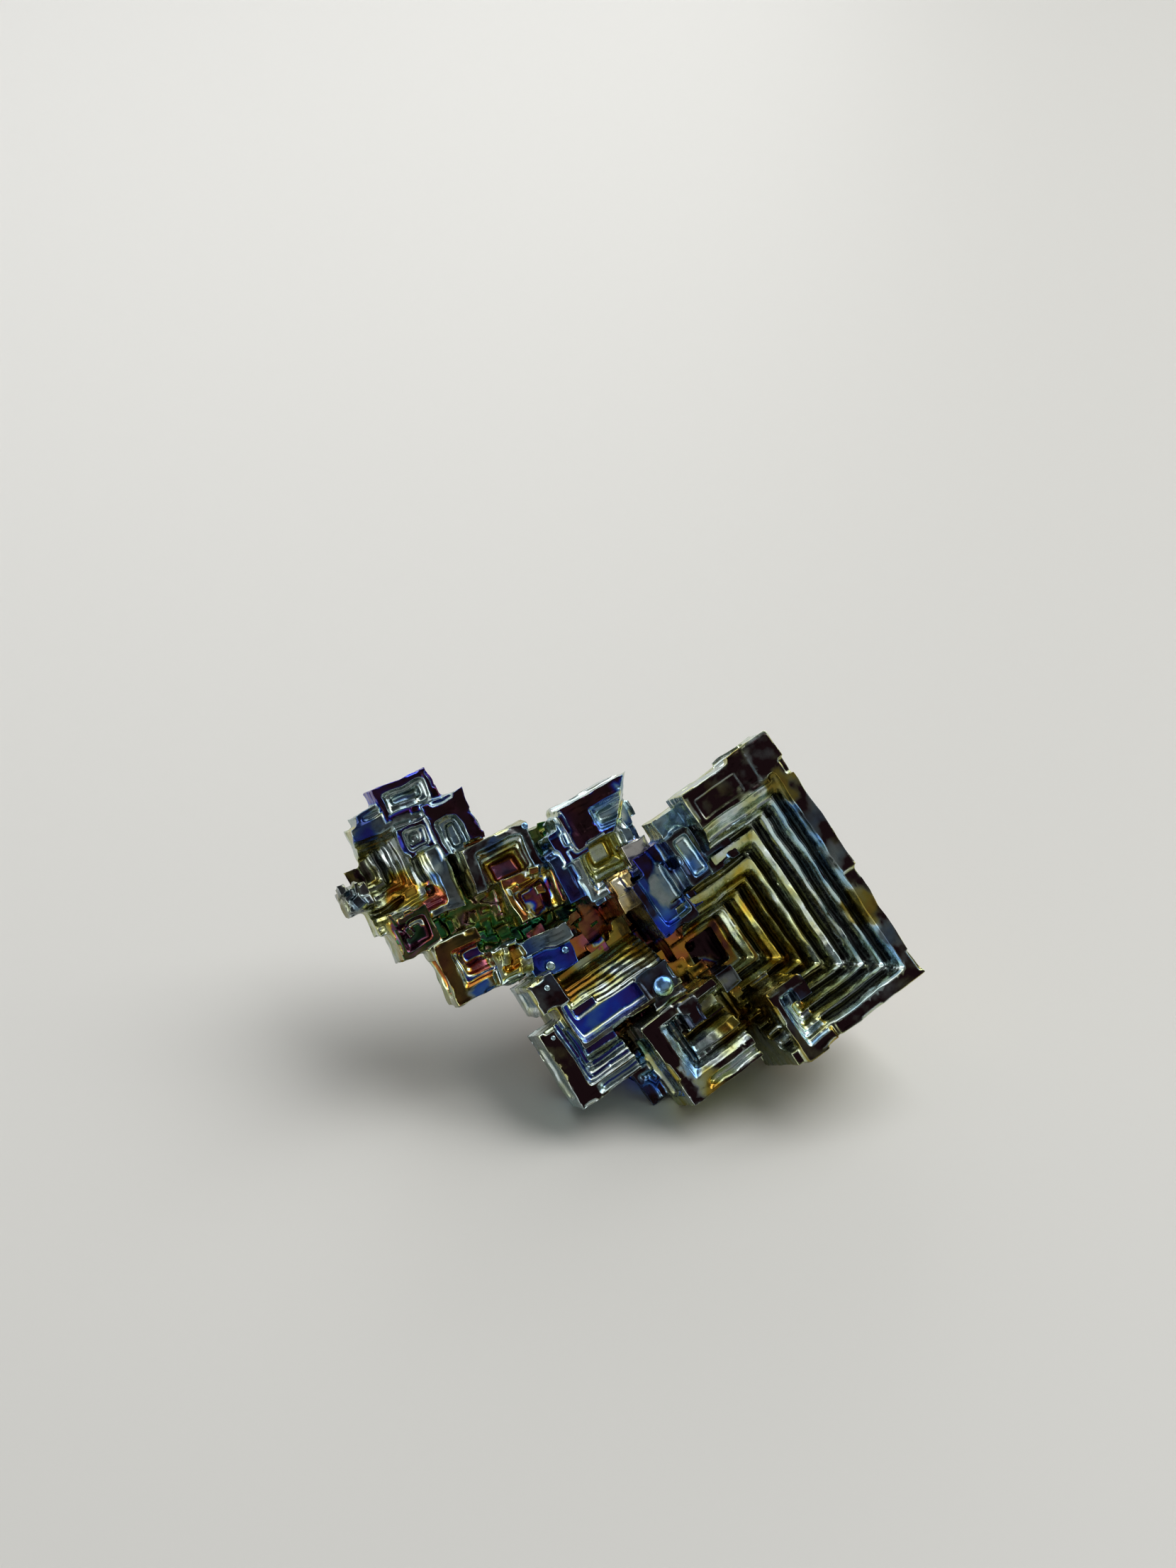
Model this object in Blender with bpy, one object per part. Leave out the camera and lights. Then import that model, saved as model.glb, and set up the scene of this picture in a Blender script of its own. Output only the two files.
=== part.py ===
"""A bismuth hopper crystal cluster: intergrown skeletal cubes with stair-stepped hollow faces.

Every crystal of the cluster shares one lattice, turned a little more towards the thin end of the
branch. A crystal is a block, or a few that step back from its front, and each of its hollow faces
is a stepped pit cut into it. All the crystals are grown together, so they are joined in one solid,
which lies on the ground, z = 0.
"""

import random
from collections import namedtuple
from math import radians

import bmesh
import bpy
from mathutils import Matrix, Vector

# Driving dimensions, in millimetres and degrees.
MM = 0.001
GROUND_LEVEL = -10.75  # where the ground lies below the lattice's zero, which is the great hopper's corner
GROUND_REACH = 60.0  # half the width of the block that cuts the underside flat
GRAIN_TILT = 0.35  # most that one crystal leans out of its neighbours' lattice
GRAIN_SEED = 7
LIFT = 0.6  # how far a pit's cutter stands out of the face that it cuts
LIP = 0.05  # the upright lip at the top of a pit
WELD = 1e-5
FLAT_ANGLE = radians(0.02)

# The lattice: u runs down the long ridges, v up along the branch and w out of the hollow faces.
AXES = "uvw"
LATTICE_U = Vector((0.561, -0.393, -0.729))
LATTICE_W = Vector((0.234, -0.769, 0.595))

# Each stretch of the branch is turned about w at its own pivot (u, v, w).
Stretch = namedtuple("Stretch", "pivot turn")
STRETCHES = {
    "thick": Stretch((0.0, 0.0, 0.0), 0.0),
    "front": Stretch((-11.0, -28.0, -5.0), 1.5),
    "middle": Stretch((-28.0, -16.0, -6.0), 5.5),
    "thin": Stretch((-20.0, -26.0, -8.0), 9.0),
}

# One stepped hollow. Widths go round its four sides: the low and high end of the face's first
# axis, then of its second. rims are left standing, and where one is negative the steps run out
# through that side. The pit goes straight down to sink, and then down a riser at each step. A step
# has a flat tread, which the first one goes without, and then a slope.
Pit = namedtuple("Pit", "face rims steps riser sink")
Step = namedtuple("Step", "tread slope")
# A crystal is one box or a few joined ones, and its pits are measured from the first box.
Crystal = namedtuple("Crystal", "name stretch boxes pits")
# Where a crystal has broken off: a point of the break and the direction that it faces.
Break = namedtuple("Break", "point facing")


def pit(face, rims, levels, tread, slope, riser, sink=LIP):
    """A pit whose steps are all alike. A width is one number, or one for each of the four sides."""
    step = Step(*(width if isinstance(width, tuple) else (width,) * 4 for width in (tread, slope)))
    return Pit(face, rims, (step,) * levels, riser, sink)


def even_pit(face, rim, levels, step):
    """A pit with the same rim all round and steps about as deep as they are wide."""
    return pit(face, (rim,) * 4, levels, 0.5 * step, 0.5 * step, step)


# The steps of the great hopper, from its rim down. They are widest where the branch leaves it.
GREAT_STEPS = (
    Step((0.00, 0.00, 0.00, 0.00), (1.70, 0.60, 0.05, 0.60)),
    Step((0.15, 0.48, 0.05, 0.47), (0.55, 0.55, 0.05, 0.62)),
    Step((0.15, 0.42, 0.05, 0.50), (0.20, 0.50, 0.05, 0.65)),
    Step((0.45, 0.42, 0.05, 0.55), (1.60, 0.55, 0.05, 0.80)),
    Step((0.50, 0.45, 0.05, 0.55), (1.50, 0.55, 0.05, 0.60)),
    Step((0.15, 0.45, 0.05, 0.45), (0.30, 0.65, 0.05, 0.55)),
    Step((0.15, 0.50, 0.05, 0.45), (0.40, 0.75, 0.05, 1.00)),
    Step((0.20, 0.50, 0.05, 0.70), (0.40, 0.60, 0.05, 0.90)),
)
# The steps of the far terraces, which crowd together towards the thin end's tip.
FAR_STEPS = (
    Step((0.00, 0.00, 0.00, 0.00), (0.30, 0.40, 0.05, 0.30)),
    Step((0.10, 0.30, 0.05, 0.20), (0.10, 0.60, 0.05, 0.35)),
    Step((0.10, 0.15, 0.05, 0.50), (0.10, 0.40, 0.05, 0.90)),
    Step((0.10, 0.55, 0.05, 0.20), (0.10, 0.80, 0.05, 0.40)),
    Step((0.10, 0.30, 0.05, 0.30), (0.10, 0.40, 0.05, 0.40)),
    Step((0.10, 0.30, 0.05, 0.40), (0.10, 0.40, 0.05, 0.50)),
)
# The steps of the front hopper, which are broad towards its lowest corner.
FRONT_STEPS = (
    Step((0.00, 0.00, 0.00, 0.00), (0.30, 0.85, 1.00, 0.05)),
    Step((0.10, 0.60, 0.50, 0.05), (0.10, 1.40, 0.35, 0.05)),
    Step((0.10, 0.35, 0.45, 0.05), (0.10, 0.45, 0.40, 0.05)),
)

CRYSTALS = (
    # The great hopper at the thick end: its right, top and bottom walls stand, and its left is open.
    Crystal("great_hopper", "thick", (
        ((-25.2, -9.4, -5.3), (0.0, 0.0, 0.0)),
        ((-17.6, -14.3, -9.6), (-0.08, -6.4, -0.12)),
        ((-23.6, -7.2, -9.8), (-1.5, -1.3, -4.9)),
        ((-21.6, -15.6, -14.8), (-3.4, -3.2, -9.2)),
        ((-25.35, -2.55, -4.0), (-11.3, 0.35, 0.18)),
        ((-25.65, -4.3, -4.4), (-22.35, 0.22, 0.09)),
    ), (
        Pit("+w", (3.1, 1.35, -16.0, 1.3), GREAT_STEPS, 1.18, LIP),
        pit("+w", (12.0, 9.9, -4.8, 11.3), 1, 0.0, 0.2, 2.4, 9.4),
        pit("+v", (1.8, 1.8, 1.1, 1.1), 2, 0.40, 0.25, 0.30),
        pit("+u", (1.6, 1.6, 1.0, 1.1), 2, 0.35, 0.25, 0.30),
        pit("-u", (1.4, 1.4, 1.1, 1.2), 1, 0.0, 0.30, 0.25),
    )),
    Crystal("great_back", "thick", (((-19.8, -13.8, -16.4), (-5.2, -5.0, -13.0)),), (
        even_pit("-w", 1.6, 2, 0.8),
    )),
    Crystal("top_bar", "thick", (((-25.05, -9.55, -5.5), (-21.6, -1.9, 0.05)),), (
        pit("+w", (0.9, 0.55, 0.8, -0.4), 2, 0.20, 0.20, 0.50),
        pit("-v", (0.7, 0.7, 1.0, 1.0), 1, 0.0, 0.2, 0.4),
    )),
    Crystal("corner_hopper", "thick", (((-6.85, -13.35, -9.4), (0.12, -9.75, 0.22)),), (
        pit("+w", (0.9, 1.15, 0.95, -3.0), 4, (0.12, 0.2, 0.2, 0.05), (0.05, 0.55, 0.35, 0.05), 0.85),
        pit("-v", (1.1, 1.1, 1.2, 1.2), 1, 0.0, 0.25, 0.3),
    )),
    Crystal("corner_tooth", "thick", (((-6.7, -10.95, -6.0), (-4.5, -9.45, 0.12)),), ()),
    # The front hoppers that the cluster leans on.
    Crystal("front_hopper", "thick", (((-10.5, -23.4, -8.2), (-2.2, -15.4, -2.5)),), (
        Pit("+w", (0.95, 2.0, 1.65, -3.4), FRONT_STEPS, 1.0, LIP),
        pit("+w", (7.0, 0.5, 2.3, -3.4), 1, 0.0, (0.3, 0.35, 0.6, 0.05), 0.5),
        pit("+u", (0.8, 0.8, 1.2, 1.2), 2, 0.35, 0.3, 0.35),
        pit("-v", (1.2, 1.2, 0.9, 0.9), 1, 0.0, 0.2, 0.3),
    )),
    Crystal("front_tooth", "thick", (((-10.38, -19.7, -7.6), (-7.7, -17.8, -2.38)),), ()),
    Crystal("low_hopper", "front", (
        ((-15.0, -31.0, -8.7), (-7.4, -24.5, -4.0)),
        ((-13.6, -30.6, -10.3), (-7.55, -25.6, -8.1)),
    ), (
        pit("+w", (-1.0, 1.5, 1.7, -2.6), 3, (0.05, 0.3, 0.3, 0.05), (0.05, 0.42, 0.3, 0.05), 0.65),
        pit("+w", (6.35, 0.4, 2.1, -2.6), 1, 0.0, (0.25, 0.3, 0.6, 0.05), 0.45),
        pit("+u", (0.8, 0.8, 1.1, 1.1), 2, 0.35, 0.3, 0.35),
        pit("-v", (1.4, 1.0, 0.9, 0.9), 1, 0.0, 0.2, 0.3),
    )),
    Crystal("gold_hopper", "front", (((-19.1, -28.1, -13.4), (-11.5, -17.4, -4.55)),), (
        pit("+w", (-3.0, 0.6, 0.45, -3.0), 1, 0.0, 0.3, 1.20),
        pit("+w", (-6.0, 2.45, 1.3, -8.0), 8, (0.05, 0.12, 0.06, 0.05), (0.05, 0.29, 0.1, 0.05), 0.5, 1.3),
        even_pit("-u", 1.4, 2, 0.6),
    )),
    Crystal("gold_post", "front", (((-19.0, -29.5, -12.0), (-15.9, -26.6, -4.45)),), (
        pit("-v", (0.6, 0.6, 1.4, 0.8), 1, 0.0, 0.2, 0.3),
    )),
    Crystal("drop_block", "thick", (((-14.0, -20.8, -13.0), (-10.6, -17.5, -4.6)),), ()),
    Crystal("gap_block", "thick", (((-10.25, -14.95, -12.0), (-8.3, -13.0, -3.9)),), ()),
    Crystal("gap_ledge", "thick", (((-9.6, -18.2, -12.5), (-4.2, -13.2, -6.4)),), (
        even_pit("+w", 0.7, 2, 0.5),
    )),
    Crystal("hidden_foot", "thick", (((-8.6, -25.2, -12.6), (-3.4, -19.8, -7.9)),), (
        even_pit("-v", 1.0, 1, 0.4),
    )),
    # The row of blocks between the great hopper and the pointed group.
    Crystal("blue_hopper", "thick", (((-20.9, -16.65, -12.4), (-15.2, -12.9, -4.0)),), (
        pit("+w", (-0.5, 0.95, 0.85, 0.2), 1, 0.0, 0.2, 0.9),
    )),
    Crystal("navy_block", "thick", (((-22.7, -15.0, -12.2), (-15.8, -11.6, -5.0)),), ()),
    Crystal("teal_hopper", "thick", (((-22.6, -12.4, -9.0), (-17.7, -9.9, -2.2)),), (
        pit("+w", (0.6, 0.7, 0.6, 0.5), 1, 0.0, 0.2, 0.5),
    )),
    Crystal("bead_block", "thick", (((-21.6, -10.2, -11.0), (-17.4, -6.6, -3.8)),), (
        pit("-v", (0.7, 0.7, 0.8, 1.1), 1, 0.0, 0.3, 0.4),
    )),
    Crystal("under_bar", "thick", (((-24.4, -11.9, -8.0), (-21.9, -8.6, -4.2)),), ()),
    # The pointed group above the middle of the branch.
    Crystal("point_block", "middle", (((-29.8, -18.3, -9.4), (-25.6, -10.7, -5.0)),), (
        pit("+w", (1.3, 0.6, 2.6, -1.0), 2, 0.2, 0.3, 0.5),
    )),
    Crystal("point_shelf", "middle", (((-29.2, -18.9, -9.8), (-26.6, -16.6, -5.6)),), ()),
    Crystal("step_block", "middle", (((-28.0, -20.0, -10.6), (-25.0, -17.0, -6.0)),), (
        even_pit("-v", 0.6, 1, 0.4),
    )),
    Crystal("slope_block", "middle", (((-26.7, -20.95, -12.6), (-21.8, -17.9, -6.4)),), (
        even_pit("-v", 1.0, 2, 0.45),
    )),
    Crystal("silver_bowl", "middle", (((-26.4, -19.1, -13.4), (-21.0, -12.9, -6.1)),), (
        pit("+w", (0.3, 0.6, 0.8, 0.9), 4, 0.14, (0.11, 0.41, 0.31, 0.21), 0.62),
    )),
    Crystal("bowl_ledge", "middle", (((-24.2, -14.6, -12.0), (-22.0, -12.0, -5.7)),), ()),
    Crystal("gold_lobe", "middle", (((-22.2, -17.2, -12.0), (-18.6, -14.9, -5.6)),), ()),
    # The thin half of the branch.
    Crystal("window_hopper", "thin", (((-31.6, -28.7, -12.6), (-27.3, -21.8, -7.1)),), (
        pit("+w", (1.0, -0.8, 1.1, 1.2), 4, 0.14, (0.32, 0.08, 0.2, 0.2), 0.62),
        even_pit("-u", 1.1, 2, 0.55),
    )),
    Crystal("red_hopper", "thin", (((-27.6, -26.4, -13.0), (-23.2, -21.3, -7.6)),), (
        pit("+w", (1.0, -0.8, 0.8, 0.8), 2, 0.2, 0.35, 1.2),
    )),
    Crystal("slate_block", "thin", (((-22.0, -27.1, -13.6), (-20.3, -22.3, -8.0)),), ()),
    Crystal("navy_brick", "thin", (((-20.6, -27.0, -13.0), (-18.1, -22.7, -8.5)),), ()),
    Crystal("olive_block", "thin", (((-22.6, -30.0, -13.2), (-19.2, -27.2, -7.7)),), (
        pit("+w", (0.5, 0.8, 0.6, -0.4), 1, 0.0, 0.4, 0.6),
    )),
    Crystal("bronze_cube", "thin", (((-24.9, -34.4, -13.0), (-19.2, -30.1, -7.9)),), (
        pit("+w", (1.1, 1.3, 1.4, -0.8), 3, 0.16, (0.05, 0.49, 0.34, 0.14), 0.55),
        even_pit("+u", 1.0, 2, 0.45),
        even_pit("-v", 1.1, 1, 0.4),
    )),
    Crystal("violet_foot", "thin", (((-28.6, -36.9, -14.0), (-24.9, -32.8, -9.4)),), (
        pit("+w", (0.8, 0.7, 0.8, 0.6), 1, 0.0, 0.3, 0.7),
    )),
    Crystal("far_terraces", "thin", (
        ((-37.4, -35.9, -14.9), (-27.0, -29.5, -10.0)),
        ((-34.2, -37.6, -14.4), (-27.6, -35.1, -10.3)),
        ((-35.6, -34.4, -18.2), (-28.4, -27.2, -13.8)),
    ), (
        Pit("+w", (1.6, 0.7, -12.0, 1.3), FAR_STEPS, 0.7, LIP),
    )),
    Crystal("far_lobe", "thin", (((-32.8, -39.1, -14.2), (-30.2, -36.6, -10.2)),), ()),
    Crystal("crown_block", "thin", (((-39.6, -32.9, -13.6), (-36.3, -27.6, -9.6)),), (
        pit("+w", (0.9, 0.3, 0.7, 0.9), 2, 0.2, 0.3, 0.55),
        even_pit("-u", 0.9, 1, 0.4),
    )),
    Crystal("crown_shelf", "thin", (((-38.3, -35.2, -13.8), (-35.8, -31.6, -10.1)),), (
        pit("+w", (0.5, 0.5, 0.6, 0.5), 1, 0.0, 0.3, 0.6),
    )),
    Crystal("grey_block", "thin", (((-36.5, -29.7, -13.4), (-31.5, -25.4, -8.8)),), (
        pit("+w", (1.9, -0.3, 0.5, 1.6), 2, 0.25, 0.25, 0.5),
        even_pit("+v", 1.1, 2, 0.5),
    )),
    Crystal("red_step", "thin", (((-35.5, -32.4, -14.0), (-32.8, -29.6, -9.3)),), (
        even_pit("+w", 0.5, 2, 0.4),
    )),
    # The trunk that every crystal grew from, and the crystals behind it.
    Crystal("trunk_thick", "thick", (((-21.8, -24.6, -17.6), (-7.6, -11.0, -11.6)),), (
        even_pit("-u", 1.5, 2, 0.8),
    )),
    Crystal("trunk_thin", "thin", (((-30.4, -33.6, -16.6), (-19.8, -19.4, -11.8)),), (
        even_pit("-w", 1.6, 3, 0.9),
    )),
    Crystal("back_foot", "thick", (((-15.6, -21.2, -21.6), (-5.9, -9.2, -13.4)),), (
        even_pit("-w", 1.4, 4, 0.8),
        even_pit("+v", 1.4, 2, 0.7),
        even_pit("-u", 1.4, 2, 0.7),
    )),
    Crystal("back_shoulder", "middle", (((-28.3, -18.4, -16.4), (-20.4, -11.4, -9.0)),), (
        even_pit("-w", 1.2, 3, 0.8),
        even_pit("-u", 1.3, 2, 0.6),
    )),
)
BREAKS = {"point_block": Break((-29.8, -11.2, -5.0), (0.60, 0.74, 0.30))}

# The spine: a row of small cubes along the crest of the valley, each set by its two ends.
SPINE_FROM = Vector((-21.4, -24.6, -10.2))
SPINE_TO = Vector((-10.4, -14.4, -9.4))
SPINE_CUBES = 9
SPINE_CUBE = 1.9
SPINE_DEPTH = 4.0


def turn_between(stretch):
    """The 4x4 matrix that takes a stretch's own lattice to the lattice of the thick end."""
    pivot = Matrix.Translation(stretch.pivot)
    return pivot @ Matrix.Rotation(radians(-stretch.turn), 4, "Z") @ pivot.inverted()


def lattice_to_world():
    """The 4x4 rotation that takes (u, v, w) to (x, y, z)."""
    w = LATTICE_W.normalized()
    u = (LATTICE_U - LATTICE_U.dot(w) * w).normalized()
    v = w.cross(u)
    return Matrix((u, v, w)).transposed().to_4x4()


def clear_objects():
    for obj in list(bpy.data.objects):
        bpy.data.objects.remove(obj, do_unlink=True)


def new_collection(name):
    collection = bpy.data.collections.new(name)
    bpy.context.scene.collection.children.link(collection)
    return collection


def object_from(mesh, name, collection):
    """Close a bmesh and put it in the scene as an object."""
    bmesh.ops.recalc_face_normals(mesh, faces=mesh.faces)
    data = bpy.data.meshes.new(name)
    mesh.to_mesh(data)
    mesh.free()
    obj = bpy.data.objects.new(name, data)
    collection.objects.link(obj)
    return obj


def box_mesh(low, high):
    """A bmesh box between two corners."""
    low, high = Vector(low), Vector(high)
    place = Matrix.Translation((low + high) / 2) @ Matrix.Diagonal(high - low).to_4x4()
    mesh = bmesh.new()
    bmesh.ops.create_cube(mesh, size=1.0, matrix=place)
    return mesh


def step_in(mesh, floor, widths, plane, depth=0.0):
    """Draw a pit's floor in by a width at each of its four sides, and take it a depth further down."""
    bmesh.ops.inset_individual(mesh, faces=[floor], thickness=0.0, depth=depth)
    centre = floor.calc_center_median()
    for axis, (low_width, high_width) in zip(plane, (widths[:2], widths[2:])):
        for vert in floor.verts:
            vert.co[axis] += low_width if vert.co[axis] < centre[axis] else -high_width


def pit_mesh(hollow, low, high):
    """The cutter of one stepped pit: a plug over the face, then a tread and a slope per step."""
    axis = AXES.index(hollow.face[1])
    outward = 1 if hollow.face[0] == "+" else -1
    first, second = plane = [other for other in range(3) if other != axis]
    face_level = high[axis] if outward > 0 else low[axis]
    near, far = [0.0] * 3, [0.0] * 3
    near[first], far[first] = low[first] + hollow.rims[0], high[first] - hollow.rims[1]
    near[second], far[second] = low[second] + hollow.rims[2], high[second] - hollow.rims[3]
    near[axis], far[axis] = sorted((face_level + outward * LIFT, face_level - outward * hollow.sink))
    mesh = box_mesh(near, far)
    inward = Vector([-outward if index == axis else 0 for index in range(3)])
    floor = max(mesh.faces, key=lambda face: face.normal.dot(inward))
    for number, step in enumerate(hollow.steps):
        if number:
            step_in(mesh, floor, step.tread, plane)
        step_in(mesh, floor, step.slope, plane, hollow.riser)
    return mesh


def combine(target, tool, operation):
    """Join a tool to the target or cut it from the target, then drop the tool."""
    boolean = target.modifiers.new(operation.title(), "BOOLEAN")
    boolean.operation = operation
    boolean.solver = "EXACT"
    boolean.object = tool
    bpy.context.view_layer.objects.active = target
    bpy.ops.object.modifier_apply(modifier=boolean.name)
    bpy.data.objects.remove(tool, do_unlink=True)


def cleave(solid, broken):
    """Take off what lies beyond a flat break, and close the solid there."""
    mesh = bmesh.new()
    mesh.from_mesh(solid.data)
    everything = list(mesh.verts) + list(mesh.edges) + list(mesh.faces)
    bmesh.ops.bisect_plane(
        mesh, geom=everything, plane_co=broken.point, plane_no=broken.facing, clear_outer=True
    )
    open_edges = [edge for edge in mesh.edges if edge.is_boundary]
    bmesh.ops.holes_fill(mesh, edges=open_edges)
    mesh.to_mesh(solid.data)
    mesh.free()


def spine_crystals():
    """The small cubes of the spine, evenly set from one end of it to the other."""
    half = Vector((SPINE_CUBE / 2, SPINE_CUBE / 2, 0.0))
    for number in range(SPINE_CUBES):
        top = SPINE_FROM.lerp(SPINE_TO, number / (SPINE_CUBES - 1))
        low = top - half - Vector((0.0, 0.0, SPINE_DEPTH))
        yield Crystal(f"spine_{number}", "thick", ((tuple(low), tuple(top + half)),), ())


def grow_crystal(crystal, dice, solids, cutters):
    """One crystal: its boxes joined, its pits cut, then leant a little and turned with the branch."""
    (low, high), *more_boxes = crystal.boxes
    solid = object_from(box_mesh(low, high), crystal.name, solids)
    for number, corners in enumerate(more_boxes):
        combine(solid, object_from(box_mesh(*corners), f"{crystal.name}_{number}", solids), "UNION")
    for hollow in crystal.pits:
        cutter = object_from(pit_mesh(hollow, low, high), crystal.name + "_pit", cutters)
        combine(solid, cutter, "DIFFERENCE")
    if crystal.name in BREAKS:
        cleave(solid, BREAKS[crystal.name])
    centre = Matrix.Translation((Vector(low) + Vector(high)) / 2)
    lean = Matrix.Identity(4)
    for axis in "XYZ":
        lean = lean @ Matrix.Rotation(radians(dice.uniform(-GRAIN_TILT, GRAIN_TILT)), 4, axis)
    turn = turn_between(STRETCHES[crystal.stretch])
    solid.data.transform(turn @ centre @ lean @ centre.inverted())
    return solid


def keep_outer_shell(solid):
    """Fill any pocket that the neighbouring crystals have closed over."""
    mesh = bmesh.new()
    mesh.from_mesh(solid.data)
    unseen = set(mesh.verts)
    shells = []
    while unseen:
        front = [unseen.pop()]
        shell = set(front)
        while front:
            near = {edge.other_vert(vert) for vert in front for edge in vert.link_edges} - shell
            shell |= near
            front = list(near)
        unseen -= shell
        shells.append(shell)
    outer = max(shells, key=len)
    inner = [vert for vert in mesh.verts if vert not in outer]
    bmesh.ops.delete(mesh, geom=inner, context="VERTS")
    bmesh.ops.remove_doubles(mesh, verts=mesh.verts, dist=WELD)
    bmesh.ops.dissolve_limit(mesh, angle_limit=FLAT_ANGLE, verts=mesh.verts, edges=mesh.edges)
    mesh.to_mesh(solid.data)
    mesh.free()


def lay_on_ground(solid, cutters):
    """Turn the cluster to its lying pose, wear its lowest corners flat and centre it on z = 0."""
    solid.data.transform(Matrix.Scale(MM, 4) @ lattice_to_world())
    ground = GROUND_LEVEL * MM
    reach = GROUND_REACH * MM
    slab = object_from(box_mesh((-reach, -reach, ground - reach), (reach, reach, ground)), "ground", cutters)
    combine(solid, slab, "DIFFERENCE")
    low = [min(vert.co[axis] for vert in solid.data.vertices) for axis in range(3)]
    high = [max(vert.co[axis] for vert in solid.data.vertices) for axis in range(3)]
    middle = [(low[axis] + high[axis]) / 2 for axis in range(2)]
    solid.data.transform(Matrix.Translation((-middle[0], -middle[1], -low[2])))


def oxide_material():
    material = bpy.data.materials.new("oxide_tinted_bismuth")
    material.use_nodes = True
    shader = material.node_tree.nodes["Principled BSDF"]
    shader.inputs["Base Color"].default_value = (0.30, 0.24, 0.20, 1.0)
    shader.inputs["Metallic"].default_value = 1.0
    shader.inputs["Roughness"].default_value = 0.3
    return material


def build():
    clear_objects()
    solids = new_collection("bismuth_hopper_crystal")
    cutters = new_collection("cutters")
    dice = random.Random(GRAIN_SEED)
    cluster = None
    for crystal in (*CRYSTALS, *spine_crystals()):
        grown = grow_crystal(crystal, dice, solids, cutters)
        if cluster is None:
            cluster = grown
        else:
            combine(cluster, grown, "UNION")
    cluster.name = cluster.data.name = "bismuth_crystal"
    keep_outer_shell(cluster)
    lay_on_ground(cluster, cutters)
    cluster.data.materials.clear()
    cluster.data.materials.append(oxide_material())
    for cutter in cutters.objects:
        cutter.hide_render = True
        cutter.display_type = "WIRE"


build()
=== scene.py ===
"""The looks of a bismuth hopper crystal cluster: fine growth steps, oxide colours and metal beads.

The crystals stand where the frame's solid has them, in the same lattice. Lengths of the crystals
are in millimetres until a crystal is finished, and everything else is in metres.
"""

import random
from collections import namedtuple
from itertools import product
from math import pi, radians

import bmesh
import bpy
import numpy as np
from mathutils import Matrix, Vector, noise
from mathutils.bvhtree import BVHTree


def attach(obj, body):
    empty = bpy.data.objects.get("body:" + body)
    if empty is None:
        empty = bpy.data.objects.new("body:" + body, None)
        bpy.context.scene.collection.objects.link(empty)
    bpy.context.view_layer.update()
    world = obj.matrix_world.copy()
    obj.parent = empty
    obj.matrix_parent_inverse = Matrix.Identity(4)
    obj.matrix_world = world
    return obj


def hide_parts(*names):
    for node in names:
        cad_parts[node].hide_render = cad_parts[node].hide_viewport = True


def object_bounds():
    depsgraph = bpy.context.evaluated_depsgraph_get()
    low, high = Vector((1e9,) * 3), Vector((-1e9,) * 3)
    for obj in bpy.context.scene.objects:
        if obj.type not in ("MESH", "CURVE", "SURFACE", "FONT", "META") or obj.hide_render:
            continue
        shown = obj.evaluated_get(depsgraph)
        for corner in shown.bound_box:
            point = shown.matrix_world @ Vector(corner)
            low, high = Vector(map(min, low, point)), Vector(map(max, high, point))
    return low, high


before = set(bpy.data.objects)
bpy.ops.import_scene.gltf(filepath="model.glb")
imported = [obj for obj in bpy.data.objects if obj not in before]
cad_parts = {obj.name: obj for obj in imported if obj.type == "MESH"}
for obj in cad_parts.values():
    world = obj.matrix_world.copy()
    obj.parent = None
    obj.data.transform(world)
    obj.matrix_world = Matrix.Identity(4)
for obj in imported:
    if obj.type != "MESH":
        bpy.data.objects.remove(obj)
cad_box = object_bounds()

MM = 0.001
BODY = "root"
NODE = "bismuth_crystal"

# The lattice: u runs down the long ridges, v up along the branch and w out of the hollow faces.
AXES = "uvw"
LATTICE_U = Vector((0.561, -0.393, -0.729))
LATTICE_W = Vector((0.234, -0.769, 0.595))
LATTICE_ZERO = Vector((26.05, -4.29, 10.75))  # where its zero stands, the great hopper's outer corner

# Each stretch of the branch is turned about w at its own pivot (u, v, w).
Stretch = namedtuple("Stretch", "pivot turn")
STRETCHES = {
    "thick": Stretch((0.0, 0.0, 0.0), 0.0),
    "front": Stretch((-11.0, -28.0, -5.0), 1.5),
    "middle": Stretch((-28.0, -16.0, -6.0), 5.5),
    "thin": Stretch((-20.0, -26.0, -8.0), 9.0),
}
GRAIN_TILT = 0.35  # most that one crystal leans out of its neighbours' lattice, in degrees
GRAIN_SEED = 7

# The growth steps, in millimetres.
LIFT = 0.6  # how far a cutter stands out of the face that it cuts
SINK = 0.4  # how far a plate is rooted in its block
LIP = 0.05  # the upright lip at the top of a pit
GROOVE_DEPTH = 1.0  # the furrow at the foot of each riser
GROOVE_WIDTH = 0.36
GROOVE_SHARE = 0.85  # the most that a furrow takes of its tread's width
GROOVE_SINK = 0.85  # and of its riser's height
GROOVE_SIDE = 0.1  # the share of a furrow's width that each of its sides takes
GROOVE_FLOOR = 0.8
CREST = 0.16  # how far the lip of each tread stands over the tread
CREST_SHARE = 0.2  # the most that it takes of the riser's height
SHOULDER = 0.6  # the share of a riser's slope that its rounded shoulder takes
SHOULDER_DROP = 0.35
CHIPS = 4  # broken places on the rim of each crystal wider than CHIP_FROM
CHIP_FROM = 2.5
CHIP_LENGTH = (0.6, 2.4)
CHIP_SIZE = (0.15, 0.45)
PLATES = 5  # thin growth plates on each block
PLATE_THICK = (0.10, 0.24)
PLATE_SHARE = (0.35, 0.9)  # of the side that a plate lies on
PLATE_INSET = 0.12

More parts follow.
